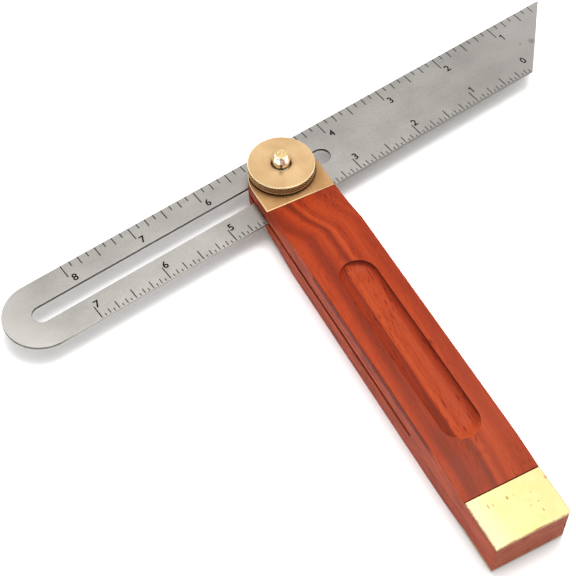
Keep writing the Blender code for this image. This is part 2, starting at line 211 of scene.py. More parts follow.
def inset(loop, distance):
    """The loop moved to its left, with mitred corners."""
    out = []
    for i in range(len(loop)):
        before, here, after = (Vector(loop[k % len(loop)]) for k in (i - 1, i, i + 1))
        arriving = (here - before).normalized()
        leaving = (after - here).normalized()
        left = Vector((-arriving.y, arriving.x))
        mitre = left + Vector((-leaving.y, leaving.x))
        mitre = mitre / max(mitre.dot(left), 0.25)
        out.append((here.x + mitre.x * distance, here.y + mitre.y * distance))
    return out


def bridge(low, high):
    """Quads between two closed rows of vertex numbers."""
    return list(zip(low, low[1:] + low[:1], high[1:] + high[:1], high))


def delaunay(loops, tolerance):
    """Corners, triangles, and the input points and loops that each of them comes from."""
    points, outlines = [], []
    for loop in loops:
        ids = list(range(len(points), len(points) + len(loop)))
        outlines.append(ids if signed_area(loop) > 0 else ids[::-1])
        points += [Vector(point) for point in loop]
    result = delaunay_2d_cdt(points, [], outlines, 0, tolerance, True)
    return result[0], result[2], result[3], result[5]


def cap_triangles(outer, holes):
    """Triangles of a flat outline with holes, numbered over outer + holes. No point is added."""
    corners, triangles, point_sources, loop_sources = delaunay([outer] + holes, 1e-9)
    out = []
    for triangle, loops in zip(triangles, loop_sources):
        if set(loops) != {0}:
            continue
        first, second, third = (corners[i] for i in triangle)
        ids = [point_sources[i][0] for i in triangle]
        if (second - first).cross(third - first) < 0:
            ids = [ids[0], ids[2], ids[1]]
        out.append(tuple(ids))
    return out


def plate_mesh(outer, holes, bottom, top, bevel, hole_bevel=None, steps=3):
    """A flat plate with holes and rounded arrises."""
    hole_bevel = bevel if hole_bevel is None else hole_bevel
    verts, faces, low_rows, high_rows = [], [], [], []
    loops = [(wound(outer, True), bevel)] + [(wound(hole, False), hole_bevel) for hole in holes]
    for loop, size in loops:
        angles = [math.pi / 2 * k / steps for k in range(steps + 1)]
        rounding = [(size * (1 - math.sin(a)), size * (1 - math.cos(a))) for a in angles]
        rings = [(distance, bottom + rise) for distance, rise in rounding]
        rings += [(distance, top - rise) for distance, rise in rounding[::-1]]
        rows = []
        for distance, z in rings:
            ring = inset(loop, distance) if distance > 1e-9 else loop
            rows.append(list(range(len(verts), len(verts) + len(ring))))
            verts += [(x, y, z) for x, y in ring]
        for low, high in zip(rows, rows[1:]):
            faces += bridge(low, high)
        low_rows.append(rows[0])
        high_rows.append(rows[-1])
    flat = [[verts[i][:2] for i in row] for row in high_rows]
    triangles = cap_triangles(flat[0], flat[1:])
    low = [i for row in low_rows for i in row]
    high = [i for row in high_rows for i in row]
    faces += [tuple(high[i] for i in triangle) for triangle in triangles]
    faces += [tuple(low[i] for i in triangle[::-1]) for triangle in triangles]
    return verts, faces


def fillet_profile(corners, steps, support=True):
    """Corners (radius, z, fillet radius) as (radius, z) points, each fillet with a support
    point on either side."""
    out = []
    for i, (radius, z, fillet) in enumerate(corners):
        if fillet <= 0 or i in (0, len(corners) - 1):
            out.append((radius, z))
            continue
        corner = Vector((radius, z))
        back = Vector(corners[i - 1][:2]) - corner
        ahead = Vector(corners[i + 1][:2]) - corner
        to_back, to_ahead = back.normalized(), ahead.normalized()
        half = math.acos(max(-1, min(1, to_back.dot(to_ahead)))) / 2
        cut = min(fillet / math.tan(half), back.length * 0.45, ahead.length * 0.45)
        real = cut * math.tan(half)
        centre = corner + (to_back + to_ahead).normalized() * (real / math.sin(half))
        first = corner + to_back * cut - centre
        last = corner + to_ahead * cut - centre
        start = math.atan2(first.y, first.x)
        sweep = math.atan2(last.y, last.x) - start
        sweep = (sweep + math.pi) % (2 * math.pi) - math.pi
        if support:
            out.append(tuple(corner + to_back * min(cut * 1.5, back.length * 0.49)))
        for k in range(steps + 1):
            angle = start + sweep * k / steps
            out.append((centre.x + real * math.cos(angle), centre.y + real * math.sin(angle)))
        if support:
            out.append(tuple(corner + to_ahead * min(cut * 1.5, ahead.length * 0.49)))
    return out


def lathe(profile, segments, shape=None):
    """A turned solid; the profile closes on the axis or on itself. shape(radius, z, angle, row)
    may change a point's radius."""
    verts, rows, faces = [], [], []
    for k, (radius, z) in enumerate(profile):
        if radius == 0:
            rows.append([len(verts)] * segments)
            verts.append((0, 0, z))
            continue
        rows.append(list(range(len(verts), len(verts) + segments)))
        for i in range(segments):
            angle = 2 * math.pi * i / segments
            reach = shape(radius, z, angle, k) if shape else radius
            verts.append((reach * math.cos(angle), reach * math.sin(angle), z))
    pairs = list(zip(rows, rows[1:]))
    if not profile[0][0] == profile[-1][0] == 0:
        pairs.append((rows[-1], rows[0]))
    for low, high in pairs:
        # quads become triangles where a row is one point on the axis
        faces += [tuple(dict.fromkeys(quad)) for quad in bridge(low, high)]
    return verts, faces


def joined(parts):
    verts, faces = [], []
    for part_verts, part_faces in parts:
        base = len(verts)
        verts += part_verts
        faces += [tuple(i + base for i in face) for face in part_faces]
    return verts, faces


def prism(loop, bottom, top):
    loop = wound(loop, True)
    low = list(range(len(loop)))
    high = [i + len(loop) for i in low]
    verts = [(x, y, z) for z in (bottom, top) for x, y in loop]
    return verts, [tuple(low[::-1]), tuple(high)] + bridge(low, high)


def box_mesh(x, y, z):
    return prism([(x[0], y[0]), (x[1], y[0]), (x[1], y[1]), (x[0], y[1])], z[0], z[1])


def square_bar(half, bottom, top):
    return box_mesh((-half, half), (-half, half), (bottom, top))


def apply_boolean(obj, tool_mesh, operation="DIFFERENCE"):
    """Cuts or joins a closed millimetre mesh and keeps the result."""
    mesh = bpy.data.meshes.new("tool")
    mesh.from_pydata([Vector(vert) * MM for vert in tool_mesh[0]], [], tool_mesh[1])
    tool = bpy.data.objects.new("tool", mesh)
    bpy.context.scene.collection.objects.link(tool)
    face_outwards(tool)
    modifier = obj.modifiers.new("cut", "BOOLEAN")
    modifier.operation = operation
    modifier.solver = "MANIFOLD"
    modifier.object = tool
    bpy.context.view_layer.update()
    graph = bpy.context.evaluated_depsgraph_get()
    result = bpy.data.meshes.new_from_object(obj.evaluated_get(graph))
    obj.modifiers.clear()
    old = obj.data
    result.name = old.name
    obj.data = result
    bpy.data.meshes.remove(old)
    bpy.data.objects.remove(tool)
    bpy.data.meshes.remove(mesh)


# ---------------------------------------------------------------- node helpers
class Value:
    """A node's output. Arithmetic on it adds math nodes to its tree."""

    def __init__(self, tree, socket):
        self.tree = tree
        self.socket = socket

    def __add__(self, other):
        return calc("ADD", self, other)

    def __radd__(self, other):
        return calc("ADD", other, self)

    def __sub__(self, other):
        return calc("SUBTRACT", self, other)

    def __rsub__(self, other):
        return calc("SUBTRACT", other, self)

    def __mul__(self, other):
        return calc("MULTIPLY", self, other)

    def __pow__(self, other):
        return calc("POWER", self, other)

    def __abs__(self):
        return calc("ABSOLUTE", self)

    def rise(self, start, end, to=(0.0, 1.0), linear=False):
        """Goes from to[0] where this value is start to to[1] where it is end, then stays.
        start may be the greater."""
        inputs = {
            "Value": self, "From Min": start, "From Max": end, "To Min": to[0], "To Max": to[1],
        }
        kind = "LINEAR" if linear else "SMOOTHSTEP"
        return value_of(self.tree, "ShaderNodeMapRange", inputs, interpolation_type=kind)

    def split(self):
        node = add_node(self.tree, "ShaderNodeSeparateXYZ", {0: self})
        return [Value(self.tree, socket) for socket in node.outputs]


def add_node(tree, kind, inputs=None, **settings):
    """A node whose inputs, by name or number, are linked to Values or set to plain values."""
    node = tree.nodes.new(kind)
    for name, setting in settings.items():
        setattr(node, name, setting)
    for key, value in (inputs or {}).items():
        if isinstance(value, Value):
            tree.links.new(value.socket, node.inputs[key])
        else:
            node.inputs[key].default_value = value
    return node


def value_of(tree, kind, inputs=None, output=0, **settings):
    return Value(tree, add_node(tree, kind, inputs, **settings).outputs[output])


def calc(operation, first, second=0.0, clamp=False):
    tree = (first if isinstance(first, Value) else second).tree
    inputs = {0: first, 1: second, 2: 0.0}
    return value_of(tree, "ShaderNodeMath", inputs, operation=operation, use_clamp=clamp)


def maximum(first, second):
    return calc("MAXIMUM", first, second)


def radius_of(x, y):
    return calc("SQRT", x * x + y * y)


def vector(x, y, z):
    return value_of(x.tree, "ShaderNodeCombineXYZ", {0: x, 1: y, 2: z})


def vector_calc(operation, first, second, output=0):
    inputs = {0: first, 1: second}
    return value_of(first.tree, "ShaderNodeVectorMath", inputs, output, operation=operation)


def noise(place, scale=1.0, detail=2.0, rough=0.5, stretch=None, shift=None, flat=False):
    """Noise at a place, which is shifted and then stretched; flat noise takes one number."""
    if shift:
        place = vector_calc("ADD", place, shift)
    if stretch:
        place = vector_calc("MULTIPLY", place, stretch)
    inputs = {"W" if flat else "Vector": place}
    inputs |= {"Scale": scale, "Detail": detail, "Roughness": rough}
    dimensions = "1D" if flat else "3D"
    return value_of(
        place.tree, "ShaderNodeTexNoise", inputs, "Fac", noise_dimensions=dimensions
    )


def mix(amount, first, second):
    """Colours mixed: first where amount is 0, second where it is 1."""
    inputs = {0: amount, 6: first, 7: second}
    return value_of(amount.tree, "ShaderNodeMix", inputs, 2, data_type="RGBA")


def blend(amount, first, second):
    """The same for plain values."""
    inputs = {0: amount, 2: first, 3: second}
    return value_of(amount.tree, "ShaderNodeMix", inputs, data_type="FLOAT")


def colour_ramp(value, stops, kind="LINEAR"):
    """A ramp through stops of (position, colour)."""
    node = add_node(value.tree, "ShaderNodeValToRGB", {0: value})
    node.color_ramp.interpolation = kind
    elements = node.color_ramp.elements
    while len(elements) > 1:
        elements.remove(elements[-1])
    elements[0].position, elements[0].color = stops[0]
    for position, colour in stops[1:]:
        elements.new(position).color = colour
    return Value(value.tree, node.outputs["Color"])


def tone_ramp(value, span, stops, kind="LINEAR"):
    """A ramp of plain values through stops of (fraction of the span, tone)."""
    greys = [(position, (tone, tone, tone, 1)) for position, tone in stops]
    colour = colour_ramp(value.rise(*span, linear=True), greys, kind)
    return value_of(value.tree, "ShaderNodeSeparateColor", {0: colour})


def surface_normal(tree):
    return value_of(tree, "ShaderNodeNewGeometry", output="Normal")


def rounded_normal(tree, radius, samples=6):
    """The normal with its arrises rounded to a radius in millimetres."""
    return value_of(tree, "ShaderNodeBevel", {"Radius": radius * MM}, samples=samples)


def arris(rounded, full):
    """Rises to 1 at arrises, where the rounded normal's dot product with the true one falls
    to full."""
    dot = vector_calc("DOT_PRODUCT", rounded, surface_normal(rounded.tree), "Value")
    return dot.rise(0.995, full)


def bump(height, distance, strength=1.0, normal=None):
    """A bumped normal; distance is in millimetres."""
    inputs = {"Strength": strength, "Distance": distance * MM, "Height": height}
    if normal is not None:
        inputs["Normal"] = normal
    return value_of(height.tree, "ShaderNodeBump", inputs)


def new_material(name):
    """An empty material, and its object coordinates in millimetres."""
    material = bpy.data.materials.new(name)
    material.use_nodes = True
    tree = material.node_tree
    tree.nodes.clear()
    metres = value_of(tree, "ShaderNodeTexCoord", output="Object")
    return material, vector_calc("MULTIPLY", metres, (1000, 1000, 1000))


def finished(material, colour, rough, normal=None, metallic=1.0, others=None):
    """Closes the material with its shader."""
    inputs = {"Base Color": colour, "Roughness": rough, "Metallic": metallic, **(others or {})}
    if normal is not None:
        inputs["Normal"] = normal
    tree = material.node_tree
    shader = value_of(tree, "ShaderNodeBsdfPrincipled", inputs)
    add_node(tree, "ShaderNodeOutputMaterial", {0: shader})
    return material


def srgb(*channels):
    """A colour given as 0-255 sRGB, in linear light."""
    def linear(channel):
        channel /= 255.0
        return channel / 12.92 if channel <= 0.04045 else ((channel + 0.055) / 1.055) ** 2.4
    return tuple(linear(channel) for channel in channels) + (1.0,)


STUDIO_LIGHT = 1.54  # how much the studio brightens a matt colour
SHEEN_LIFT = 0.020  # what the surface's sheen adds


def seen(*channels):
    """The base colour that looks like this sRGB colour under the studio's light."""
    linear = srgb(*channels)[:3]
    return tuple(max((part - SHEEN_LIFT) / STUDIO_LIGHT, 0.002) for part in linear) + (1.0,)


# ---------------------------------------------------------------- wood
# sideways drift of the growth sheets over DRIFT_X: fraction, drift
DRIFT_X = (-10, 150)
DRIFT = (
    (0.0, 0.95), (0.156, 0.70), (0.2125, 0.375), (0.25, 0.05), (0.30, 0.0), (0.4375, 0.05),
    (0.6875, 0.70), (0.79, 1.0), (0.88, 0.5), (1.0, 0.0),
)
# tone of the sheets, dark 0 to light 1: sheet coordinate, tone
SHEETS = (
    (-16, 0.50), (-12.5, 0.60), (-10.6, 0.78), (-9.2, 0.60), (-8.0, 0.36), (-6.8, 0.31),
    (-5.4, 0.38), (-3.8, 0.56), (-2.2, 0.68), (-1.2, 0.48), (-0.4, 0.20), (0.5, 0.20),
    (1.2, 0.66), (2.0, 0.96), (2.8, 0.62), (3.9, 0.44), (5.2, 0.66), (6.6, 0.80), (8.2, 0.68),
    (9.6, 0.54), (11.6, 0.50), (13.2, 0.60), (15.2, 0.48), (17.0, 0.62), (19.0, 0.44),
    (21.0, 0.62), (24.0, 0.46),
)
# tone across the bed of the upper groove over BED_SPAN: fraction, tone
BED_SPAN = (-6, 8)
BED = (
    (0.0, 0.34), (0.16, 0.44), (0.30, 0.36), (0.40, 0.30), (0.455, 0.86), (0.52, 0.98),
    (0.60, 0.80), (0.72, 0.86), (0.86, 0.80), (0.94, 0.50), (1.0, 0.40),
)
# tone, colour
WOOD_COLOURS = (
    (0.0, seen(126, 53, 34)), (0.18, seen(144, 60, 37)), (0.38, seen(166, 64, 39)),
    (0.58, seen(186, 72, 42)), (0.78, seen(200, 80, 45)), (1.0, seen(214, 93, 52)),
)
UPPER_Z = (13.2, 13.5)  # marks of the upper groove fade in here, clear of the lower one


def wood_tone(mm, place, deep, side):
    """Tone of the growth sheets. They dip across the stock and run along it, so a carved face
    shows them shifted sideways."""
    x, y, z = place
    drift = tone_ramp(x, DRIFT_X, DRIFT, "B_SPLINE")
    broad_warp = noise(mm, stretch=(0.018, 0.10, 0.10), detail=1.0)
    warp = noise(mm, shift=(31.0, 7.0, 3.0), stretch=(0.06, 0.45, 0.45))
    sheet = (
        y + (TOP_Z - z) * 1.5 + drift * 2.0 + (broad_warp - 0.5) * 1.8 + (warp - 0.5) * 0.7
    )
    low, high = SHEETS[0][0], SHEETS[-1][0]
    stops = [((at - low) / (high - low), tone) for at, tone in SHEETS]
    tone = tone_ramp(sheet, (low, high), stops)
    # beyond the table, and on the sides, the sheets are random
    far = noise(vector(x * 0.01, sheet * 0.42, 3.7), detail=3.0, rough=0.6)
    tone = blend(
        sheet.rise(18, 24), tone, far.rise(0.25, 0.75, to=(0.1, 0.95), linear=True)
    )
    # the upper groove opens a lighter sheet, with a duller one along its -Y side
    shore = y + x * 0.0185 + 0.95 + (warp - 0.5) * 0.9
    bed = tone_ramp(shore, BED_SPAN, BED)
    bed = bed + (x.rise(92, 104) * shore.rise(0.6, 0.0)) * -0.16
    tone = blend(deep, tone, bed)
    tone = blend(side, tone, far.rise(0.25, 0.75, to=(0.40, 0.66), linear=True))
    # darker beside the head plate, and in a patch by the groove's butt end
    tone = tone + x.rise(21, 14) * -0.10
    heel = (x.rise(104, 114) * x.rise(134, 130)) * (y + warp * 2.0).rise(0.2, -0.9)
    tone = tone + (heel * y.rise(-11.5, -9.0)) * deep.rise(0.0, 1.0, to=(-0.24, 0.0))
    streak = noise(vector(x * 0.012, sheet * 1.3, z * 0.05), detail=3.0, rough=0.55)
    return tone + (streak - 0.5) * 0.55


def worked_wood(colour, mm, place, tilt, facing, end, side):
    """Colours of the end grain, of the sawn sides with painted sheen, and of the upper groove's
    walls with painted shade and a painted highlight.
    """
    x, y, z = place
    speck = noise(mm, stretch=(1.0, 5.0, 5.0))
    rays = noise(
        vector(x, y + z * 0.5, z + y * -0.5), stretch=(1.0, 0.35, 3.2), detail=3.0, rough=0.65
    )
    grey = (speck * 0.45 + rays * 0.55).rise(0.43, 0.57)
    colour = mix(end * 0.74, colour, mix(grey, srgb(98, 47, 36), srgb(164, 92, 68)))
    # the sides are mixed to paler, greyer colours: the sawn texture, with painted sheen
    sawn = noise(tilt, stretch=(0.035, 1.0, 1.6), detail=3.0, rough=0.6).rise(0.43, 0.57)
    colour = mix(side * 0.54, colour, mix(sawn, srgb(108, 44, 30), srgb(174, 78, 49)))
    # painted shade on the upper groove's walls that face away from the lamp, at its head end and
    # along its +Y side
    facing_away_from_lamp = (facing[0] * 0.80 + facing[1] * -0.60).rise(0.22, 0.62)
    in_groove = (x.rise(44.0, 44.6) * x.rise(117.0, 112.0)) * z.rise(*UPPER_Z)
    painted_wall_shade = (facing_away_from_lamp * (TOP_Z - z).rise(0.0, 0.10)) * in_groove
    colour = mix(painted_wall_shade * 0.72, colour, seen(96, 36, 24))
    # a painted highlight on the wall at its butt end
    rim = (facing[0].rise(-0.15, -0.5) * x.rise(108, 114)) * z.rise(*UPPER_Z)
    return mix(rim * 0.45, colour, seen(226, 108, 66))


def wood_material():
    """Oiled red hardwood."""
    material, mm = new_material("stock_hardwood")
    tree = mm.tree
    place = x, y, z = mm.split()
    facing = surface_normal(tree).split()
    side = abs(facing[1]).rise(0.60, 0.90)
    end = abs(facing[0]).rise(0.75, 0.95)
    # 1 well inside the upper groove
    deep = ((TOP_Z - z).rise(0.25, 0.95) * z.rise(*UPPER_Z)) * (
        x.rise(44.0, 45.5) * x.rise(117.5, 116.0)
    )
    tilt = vector(x, y + x * 0.085, z)  # the fibres run slightly askew
    fibre = noise(tilt, stretch=(0.10, 2.4, 2.4), detail=3.0, rough=0.6)
    fine = noise(tilt, stretch=(0.35, 7.0, 7.0), rough=0.6)
    cloud = noise(mm, stretch=(0.03, 0.16, 0.16))
    tone = wood_tone(mm, place, deep, side)
    tone = tone + (fibre - 0.5) * 0.42 + (fine - 0.5) * 0.20 + (cloud - 0.5) * 0.35
    colour = colour_ramp(calc("ADD", tone, 0.0, clamp=True), WOOD_COLOURS)
    # open pores: short dark dashes along the grain, gathered in patches
    patch = noise(mm, shift=(5.0, 11.0, 0.0), stretch=(0.045, 0.26, 0.26), detail=1.0)
    patch = (patch + deep * 0.12).rise(0.46, 0.64, to=(0.10, 1.0))
    pores = noise(tilt, stretch=(0.20, 3.1, 3.1), detail=1.0, rough=0.4).rise(0.60, 0.69) * patch
    dust = noise(tilt, stretch=(0.55, 6.5, 6.5), detail=0.0).rise(0.64, 0.76)
    # long, thin dark lines along one level of a noise
    level = noise(tilt, shift=(0.0, 3.3, 9.0), stretch=(0.022, 1.25, 1.25), detail=0.0)
    lines = abs(level - 0.60).rise(0.012, 0.002) * 0.34
    colour = mix(pores * 0.72, colour, seen(100, 40, 28))
    colour = mix(dust * 0.30, colour, seen(108, 42, 28))
    colour = mix(lines, colour, seen(118, 46, 32))
    # towards the butt the wood is a little paler and duller
    pale = x.rise(60, 130, to=(0.0, 0.30)) * deep.rise(0.0, 1.0, to=(1.0, 0.25))
    colour = mix(pale, colour, seen(190, 98, 72))
    colour = worked_wood(colour, mm, place, tilt, facing, end, side)
    # eased arrises are rubbed a little lighter
    soft = rounded_normal(tree, radius=0.30, samples=8)
    colour = mix(arris(soft, full=0.90) * 0.22, colour, seen(206, 104, 68))
    rough = 0.44 + fibre * 0.14 + pores * 0.25 + end * 0.15 + side * 0.05
    height = fine * 0.35 + fibre * 0.5 + pores * -1.4 + dust * -0.3
    normal = bump(height, distance=0.045, strength=0.6, normal=soft)
    sheen = {"Specular IOR Level": 0.12, "Coat Weight": 0.02, "Coat Roughness": 0.32}
    return finished(material, colour, rough, normal, metallic=0.0, others=sheen)


# ---------------------------------------------------------------- metals
# brown spots on the butt plates: x, y, radius in x, radius in y, strength
BUTT_SPOTS = (
    (137.05, -1.15, 0.75, 0.45, 0.55), (137.0, 1.0, 0.35, 0.25, 0.4),
    (136.9, -7.3, 0.95, 0.22, 0.7), (137.2, -5.9, 0.5, 0.2, 0.6), (144.9, 5.9, 0.55, 0.35, 0.5),
    (142.0, 6.1, 0.35, 0.3, 0.45), (142.1, 3.6, 0.3, 0.3, 0.4), (138.5, 5.7, 0.35, 0.35, 0.4),
    (136.6, 12.0, 0.5, 0.5, 0.5), (149.2, 2.0, 0.35, 4.5, 0.35), (149.2, -8.0, 0.3, 3.0, 0.3),
)


def brass_material(
    name, pale, base, dark, rough, scratches, edge_highlight, edge_colour,
    spots=(), pale_side=None, painted_nut_shade=None, burred=False,
):
    """Worked brass: drawn lines, scratches, light tarnish, brown spots, and arrises painted
    brighter as a highlight.

    scratches stretches the drawn lines. pale_side is the y where a paler side begins and is
    full; the radii given for the nut are those between which painted shade round it fades;
    and burred pits the rim of the butt."""
    material, mm = new_material(name)
    x, y, z = mm.split()
    lines = noise(mm, stretch=scratches, detail=3.0, rough=0.65)
    askew = vector(x * 0.80 + y * 0.60, x * -0.60 + y * 0.80, z)
    hair = noise(askew, stretch=(0.12, 5.0, 1.0), detail=1.0).rise(0.70, 0.80)
    cloud = noise(mm, stretch=(0.12, 0.16, 0.2), detail=3.0, rough=0.6)
    grain = noise(mm, scale=6.0)
    colour = mix((cloud * 0.75 + lines * 0.25).rise(0.32, 0.68), base, pale)
    if pale_side:
        paler = (y + cloud * 4.0).rise(*pale_side, to=(0.0, 0.55))
        colour = mix(paler, colour, srgb(188, 170, 136))
    colour = mix(grain.rise(0.35, 0.75) * 0.22, colour, dark)
    if burred:
        sides = abs(y).rise(HALF_WIDTH - 0.45, HALF_WIDTH - 0.12)
        rim = maximum(sides, x.rise(BUTT_X - 0.5, BUTT_X - 0.15))
        pitted = noise(mm, scale=1.5, rough=0.7).rise(0.44, 0.56)
        colour = mix((rim * pitted) * 0.70, colour, srgb(112, 74, 48))
    # painted shade round the nut, with a darker painted contact shadow along its edge
    if painted_nut_shade:
        near, far = painted_nut_shade
        away = radius_of(x, y) + (grain - 0.5) * 0.5
        colour = mix(away.rise(far, near, to=(0.0, 0.34)), colour, srgb(80, 50, 30))
        line = away.rise(near + 0.65, near + 0.05, to=(0.0, 0.80))
        colour = mix(line, colour, srgb(44, 26, 17))
    # small scattered spots, then those with a place of their own
    tenths = vector_calc("MULTIPLY", mm, (0.34, 0.34, 0.34))
    cells = value_of(
        mm.tree, "ShaderNodeTexVoronoi", {"Vector": tenths, "Scale": 1.0, "Randomness": 1.0},
        "Distance", feature="F1",
    )
    spot = (cells.rise(0.13, 0.05) * noise(mm, scale=0.22, detail=0.0).rise(0.52, 0.60)) * 0.25
    if spots:
        ragged = (grain - 0.5) * 0.9 + (lines - 0.5) * 0.5
    for spot_x, spot_y, radius_x, radius_y, strength in spots:
        away = radius_of((x - spot_x) * (1.0 / radius_x), (y - spot_y) * (1.0 / radius_y))
        spot = maximum(spot, (away + ragged).rise(1.1, 0.5) * strength)
    colour = mix(spot, colour, srgb(120, 78, 46))
    # the arrises are painted brighter in the edge colour, as a highlight
    edge = abs(surface_normal(mm.tree).split()[2]).rise(0.985, 0.80)
    colour = mix(edge * edge_highlight, colour, edge_colour)
    rough = (rough - 0.05) + cloud * 0.08 + lines * 0.05 + edge * -0.06 + spot * 0.12
    height = lines * 0.6 + grain * 0.5 + hair * -1.0 + spot * -0.6
    return finished(material, colour, rough, bump(height, distance=0.004))


def stain_axes(x, y):
    """Distances along and across the line from the axis towards the camera, on which the painted
    dark reflections on the nut's top and on the bolt lie.
    """
    return x * 0.882 + y * -0.471, x * 0.471 + y * 0.882


def nut_base(name):
    """What the nut's two materials share: coordinates, radius, grain, softened normal."""
    material, mm = new_material(name)
    x, y, _ = mm.split()
    grain = noise(mm, scale=5.5, detail=3.0, rough=0.7)
    return material, mm, x, y, radius_of(x, y), grain, rounded_normal(mm.tree, radius=0.15)


def nut_face_material():
    """Turned and fine-blasted brass."""
    material, mm, x, y, radius, grain, soft = nut_base("nut_face_brass")
    rings = noise(radius * 9.0, flat=True)
    cloud = noise(mm, scale=0.16)
    tone = (cloud * 0.6 + grain * 0.4).rise(0.35, 0.65)
    colour = mix(tone, srgb(201, 165, 121), srgb(215, 183, 136))
    # darker towards the bolt
    darker_near_bolt = (radius + cloud * 0.8 + grain * 0.5).rise(5.9, 4.1)
    colour = mix(darker_near_bolt * 0.30, colour, srgb(150, 112, 72))
    # painted shade towards the camera's side of the top, and a painted dark reflection of the bolt
    # beside it
    along, across = stain_axes(x, y)
    across = across + (grain - 0.5) * 1.4
    colour = mix(along.rise(0.0, 9.0, to=(0.0, 0.17)), colour, srgb(140, 102, 62))
    painted_bolt_reflection = abs(across).rise(1.1, 0.3) * (along.rise(2.0, 3.2) * along.rise(6.6, 4.2))
    colour = mix(painted_bolt_reflection * 0.55, colour, srgb(126, 88, 52))
    # a painted highlight on the rim
    slope = surface_normal(mm.tree).split()[2].rise(0.97, 0.85)
    edge = maximum(arris(soft, full=0.85) * 0.6, slope) * radius.rise(8.0, 9.0)
    painted_edge_shading = edge * grain.rise(0.30, 0.60, to=(0.45, 0.95))
    colour = mix(painted_edge_shading, colour, srgb(255, 240, 198))
    normal = bump(rings * 0.8 + grain * 0.7, distance=0.0045, normal=soft)
    return finished(material, colour, 0.33 + cloud * 0.04 + edge * -0.10, normal)


def nut_knurl_material():
    """The nut's brass, with painted shade between the teeth."""
    material, _, _, _, radius, grain, soft = nut_base("nut_knurl_brass")
    crest = radius.rise(NUT_R - 0.26, NUT_R - 0.01)
    brass = mix(grain.rise(0.38, 0.60), srgb(150, 108, 70), srgb(226, 182, 126))
    # painted shade in the grooves, brass on the crests
    colour = mix(crest, srgb(74, 46, 32), brass)
    colour = mix(grain.rise(0.4, 0.7) * 0.3, colour, srgb(110, 70, 40))
    normal = bump(grain, distance=0.010, strength=0.8, normal=soft)
    return finished(material, colour, blend(crest, 0.55, 0.34), normal)


def steel_base(name):
    material, mm = new_material(name)
    return material, mm, noise(mm, scale=5.0, detail=3.0, rough=0.7)


def mottled(grain, dark, pale):
    return mix(grain.rise(0.3, 0.7), dark, pale)


def steel_finish(mm, grain):
    """Lengthwise brushing, and the normal it gives with the grain."""
    brushed = noise(mm, stretch=(0.06, 4.5, 1.0), detail=3.0, rough=0.6)
    soft = rounded_normal(mm.tree, radius=0.12)
    return brushed, bump(brushed * 0.7 + grain * 0.6, distance=0.0045, normal=soft)


def blade_material():
    """Satin stainless steel with faint mottling, painted reflections and a painted shadow."""
    material, mm, grain = steel_base("blade_steel")
    brushed, normal = steel_finish(mm, grain)
    x, y, _ = mm.split()
    cloud = noise(mm, stretch=(0.05, 0.075, 0.1), detail=3.0, rough=0.55)
    blotch = noise(mm, shift=(40.0, 9.0, 0.0), stretch=(0.10, 0.14, 0.1), rough=0.6)
    tone = (cloud * 0.55 + blotch * 0.30 + brushed * 0.15).rise(0.30, 0.70)
    colour = mix(tone, srgb(160, 156, 151), srgb(176, 172, 167))
    satin = noise(mm, scale=2.2, detail=3.0, rough=0.75)
    colour = mix(satin.rise(0.42, 0.62) * 0.30, colour, srgb(138, 134, 130))
    # painted reflection: paler towards both ends
    colour = mix(x.rise(-84, -106, to=(0.0, 0.60)), colour, srgb(206, 202, 197))
    colour = mix(x.rise(86, 116, to=(0.0, 0.36)), colour, srgb(206, 202, 197))
    # painted shadow of the stock on the near band beside it
    painted_stock_shadow = (x + cloud * 8.0).rise(-30, -9, to=(0.0, 0.56))
    painted_stock_shadow = painted_stock_shadow * (x.rise(12, 0) * y.rise(-2.5, -4.5))
    colour = mix(painted_stock_shadow, colour, srgb(118, 113, 108))

    def away(stain_x, below):
        return calc("SQRT", abs(x - stain_x) ** 2.0 + abs(y + below) ** 2.0)

    # a small stain at the slanted end and a dot beside it
    stain_and_painted_reflection = (away(109.0, 1.5) + grain * 1.2).rise(2.4, 1.0)
    colour = mix(stain_and_painted_reflection * 0.5, colour, srgb(110, 96, 84))
    colour = mix(away(104.7, 0.3).rise(0.42, 0.25) * 0.6, colour, srgb(90, 84, 80))
    rough = 0.30 + cloud * 0.03 + blotch * 0.02 + brushed * 0.03
    return finished(material, colour, rough, normal)


def blade_edge_material():
    """The slot's walls are painted dark as shade, and the ground outer edges pale, with painted
    shade towards the point and round the end.
    """
    material, mm, grain = steel_base("blade_edge_steel")
    x, y, _ = mm.split()
    # painted shade on the slot's walls
    painted_slot_shade = mottled(grain, srgb(58, 54, 50), srgb(100, 96, 91))
    ground = mottled(grain, srgb(134, 130, 125), srgb(168, 164, 158))
    # painted shade along the outer edge towards the point
    ground = mix(x.rise(6, 20, to=(0.0, 0.55)), ground, srgb(70, 66, 62))
    # painted shade round the end
    painted_edge_shading = mottled(grain, srgb(82, 78, 74), srgb(124, 120, 114))
    ground = mix(x.rise(-86, -94), ground, painted_edge_shading)
    colour = mix(abs(y).rise(6.0, 4.6), ground, painted_slot_shade)
    return finished(material, colour, 0.5, steel_finish(mm, grain)[1])


def blade_mark_material():
    """The blackened graduations."""
    material, _, grain = steel_base("blade_mark_black")
    colour = mottled(grain, srgb(9, 7, 7), srgb(24, 20, 19))
    normal = bump(grain, distance=0.01, strength=0.6)
    return finished(
        material, colour, 0.62 + grain * 0.2, normal, metallic=0.0,
        others={"Specular IOR Level": 0.12},
    )


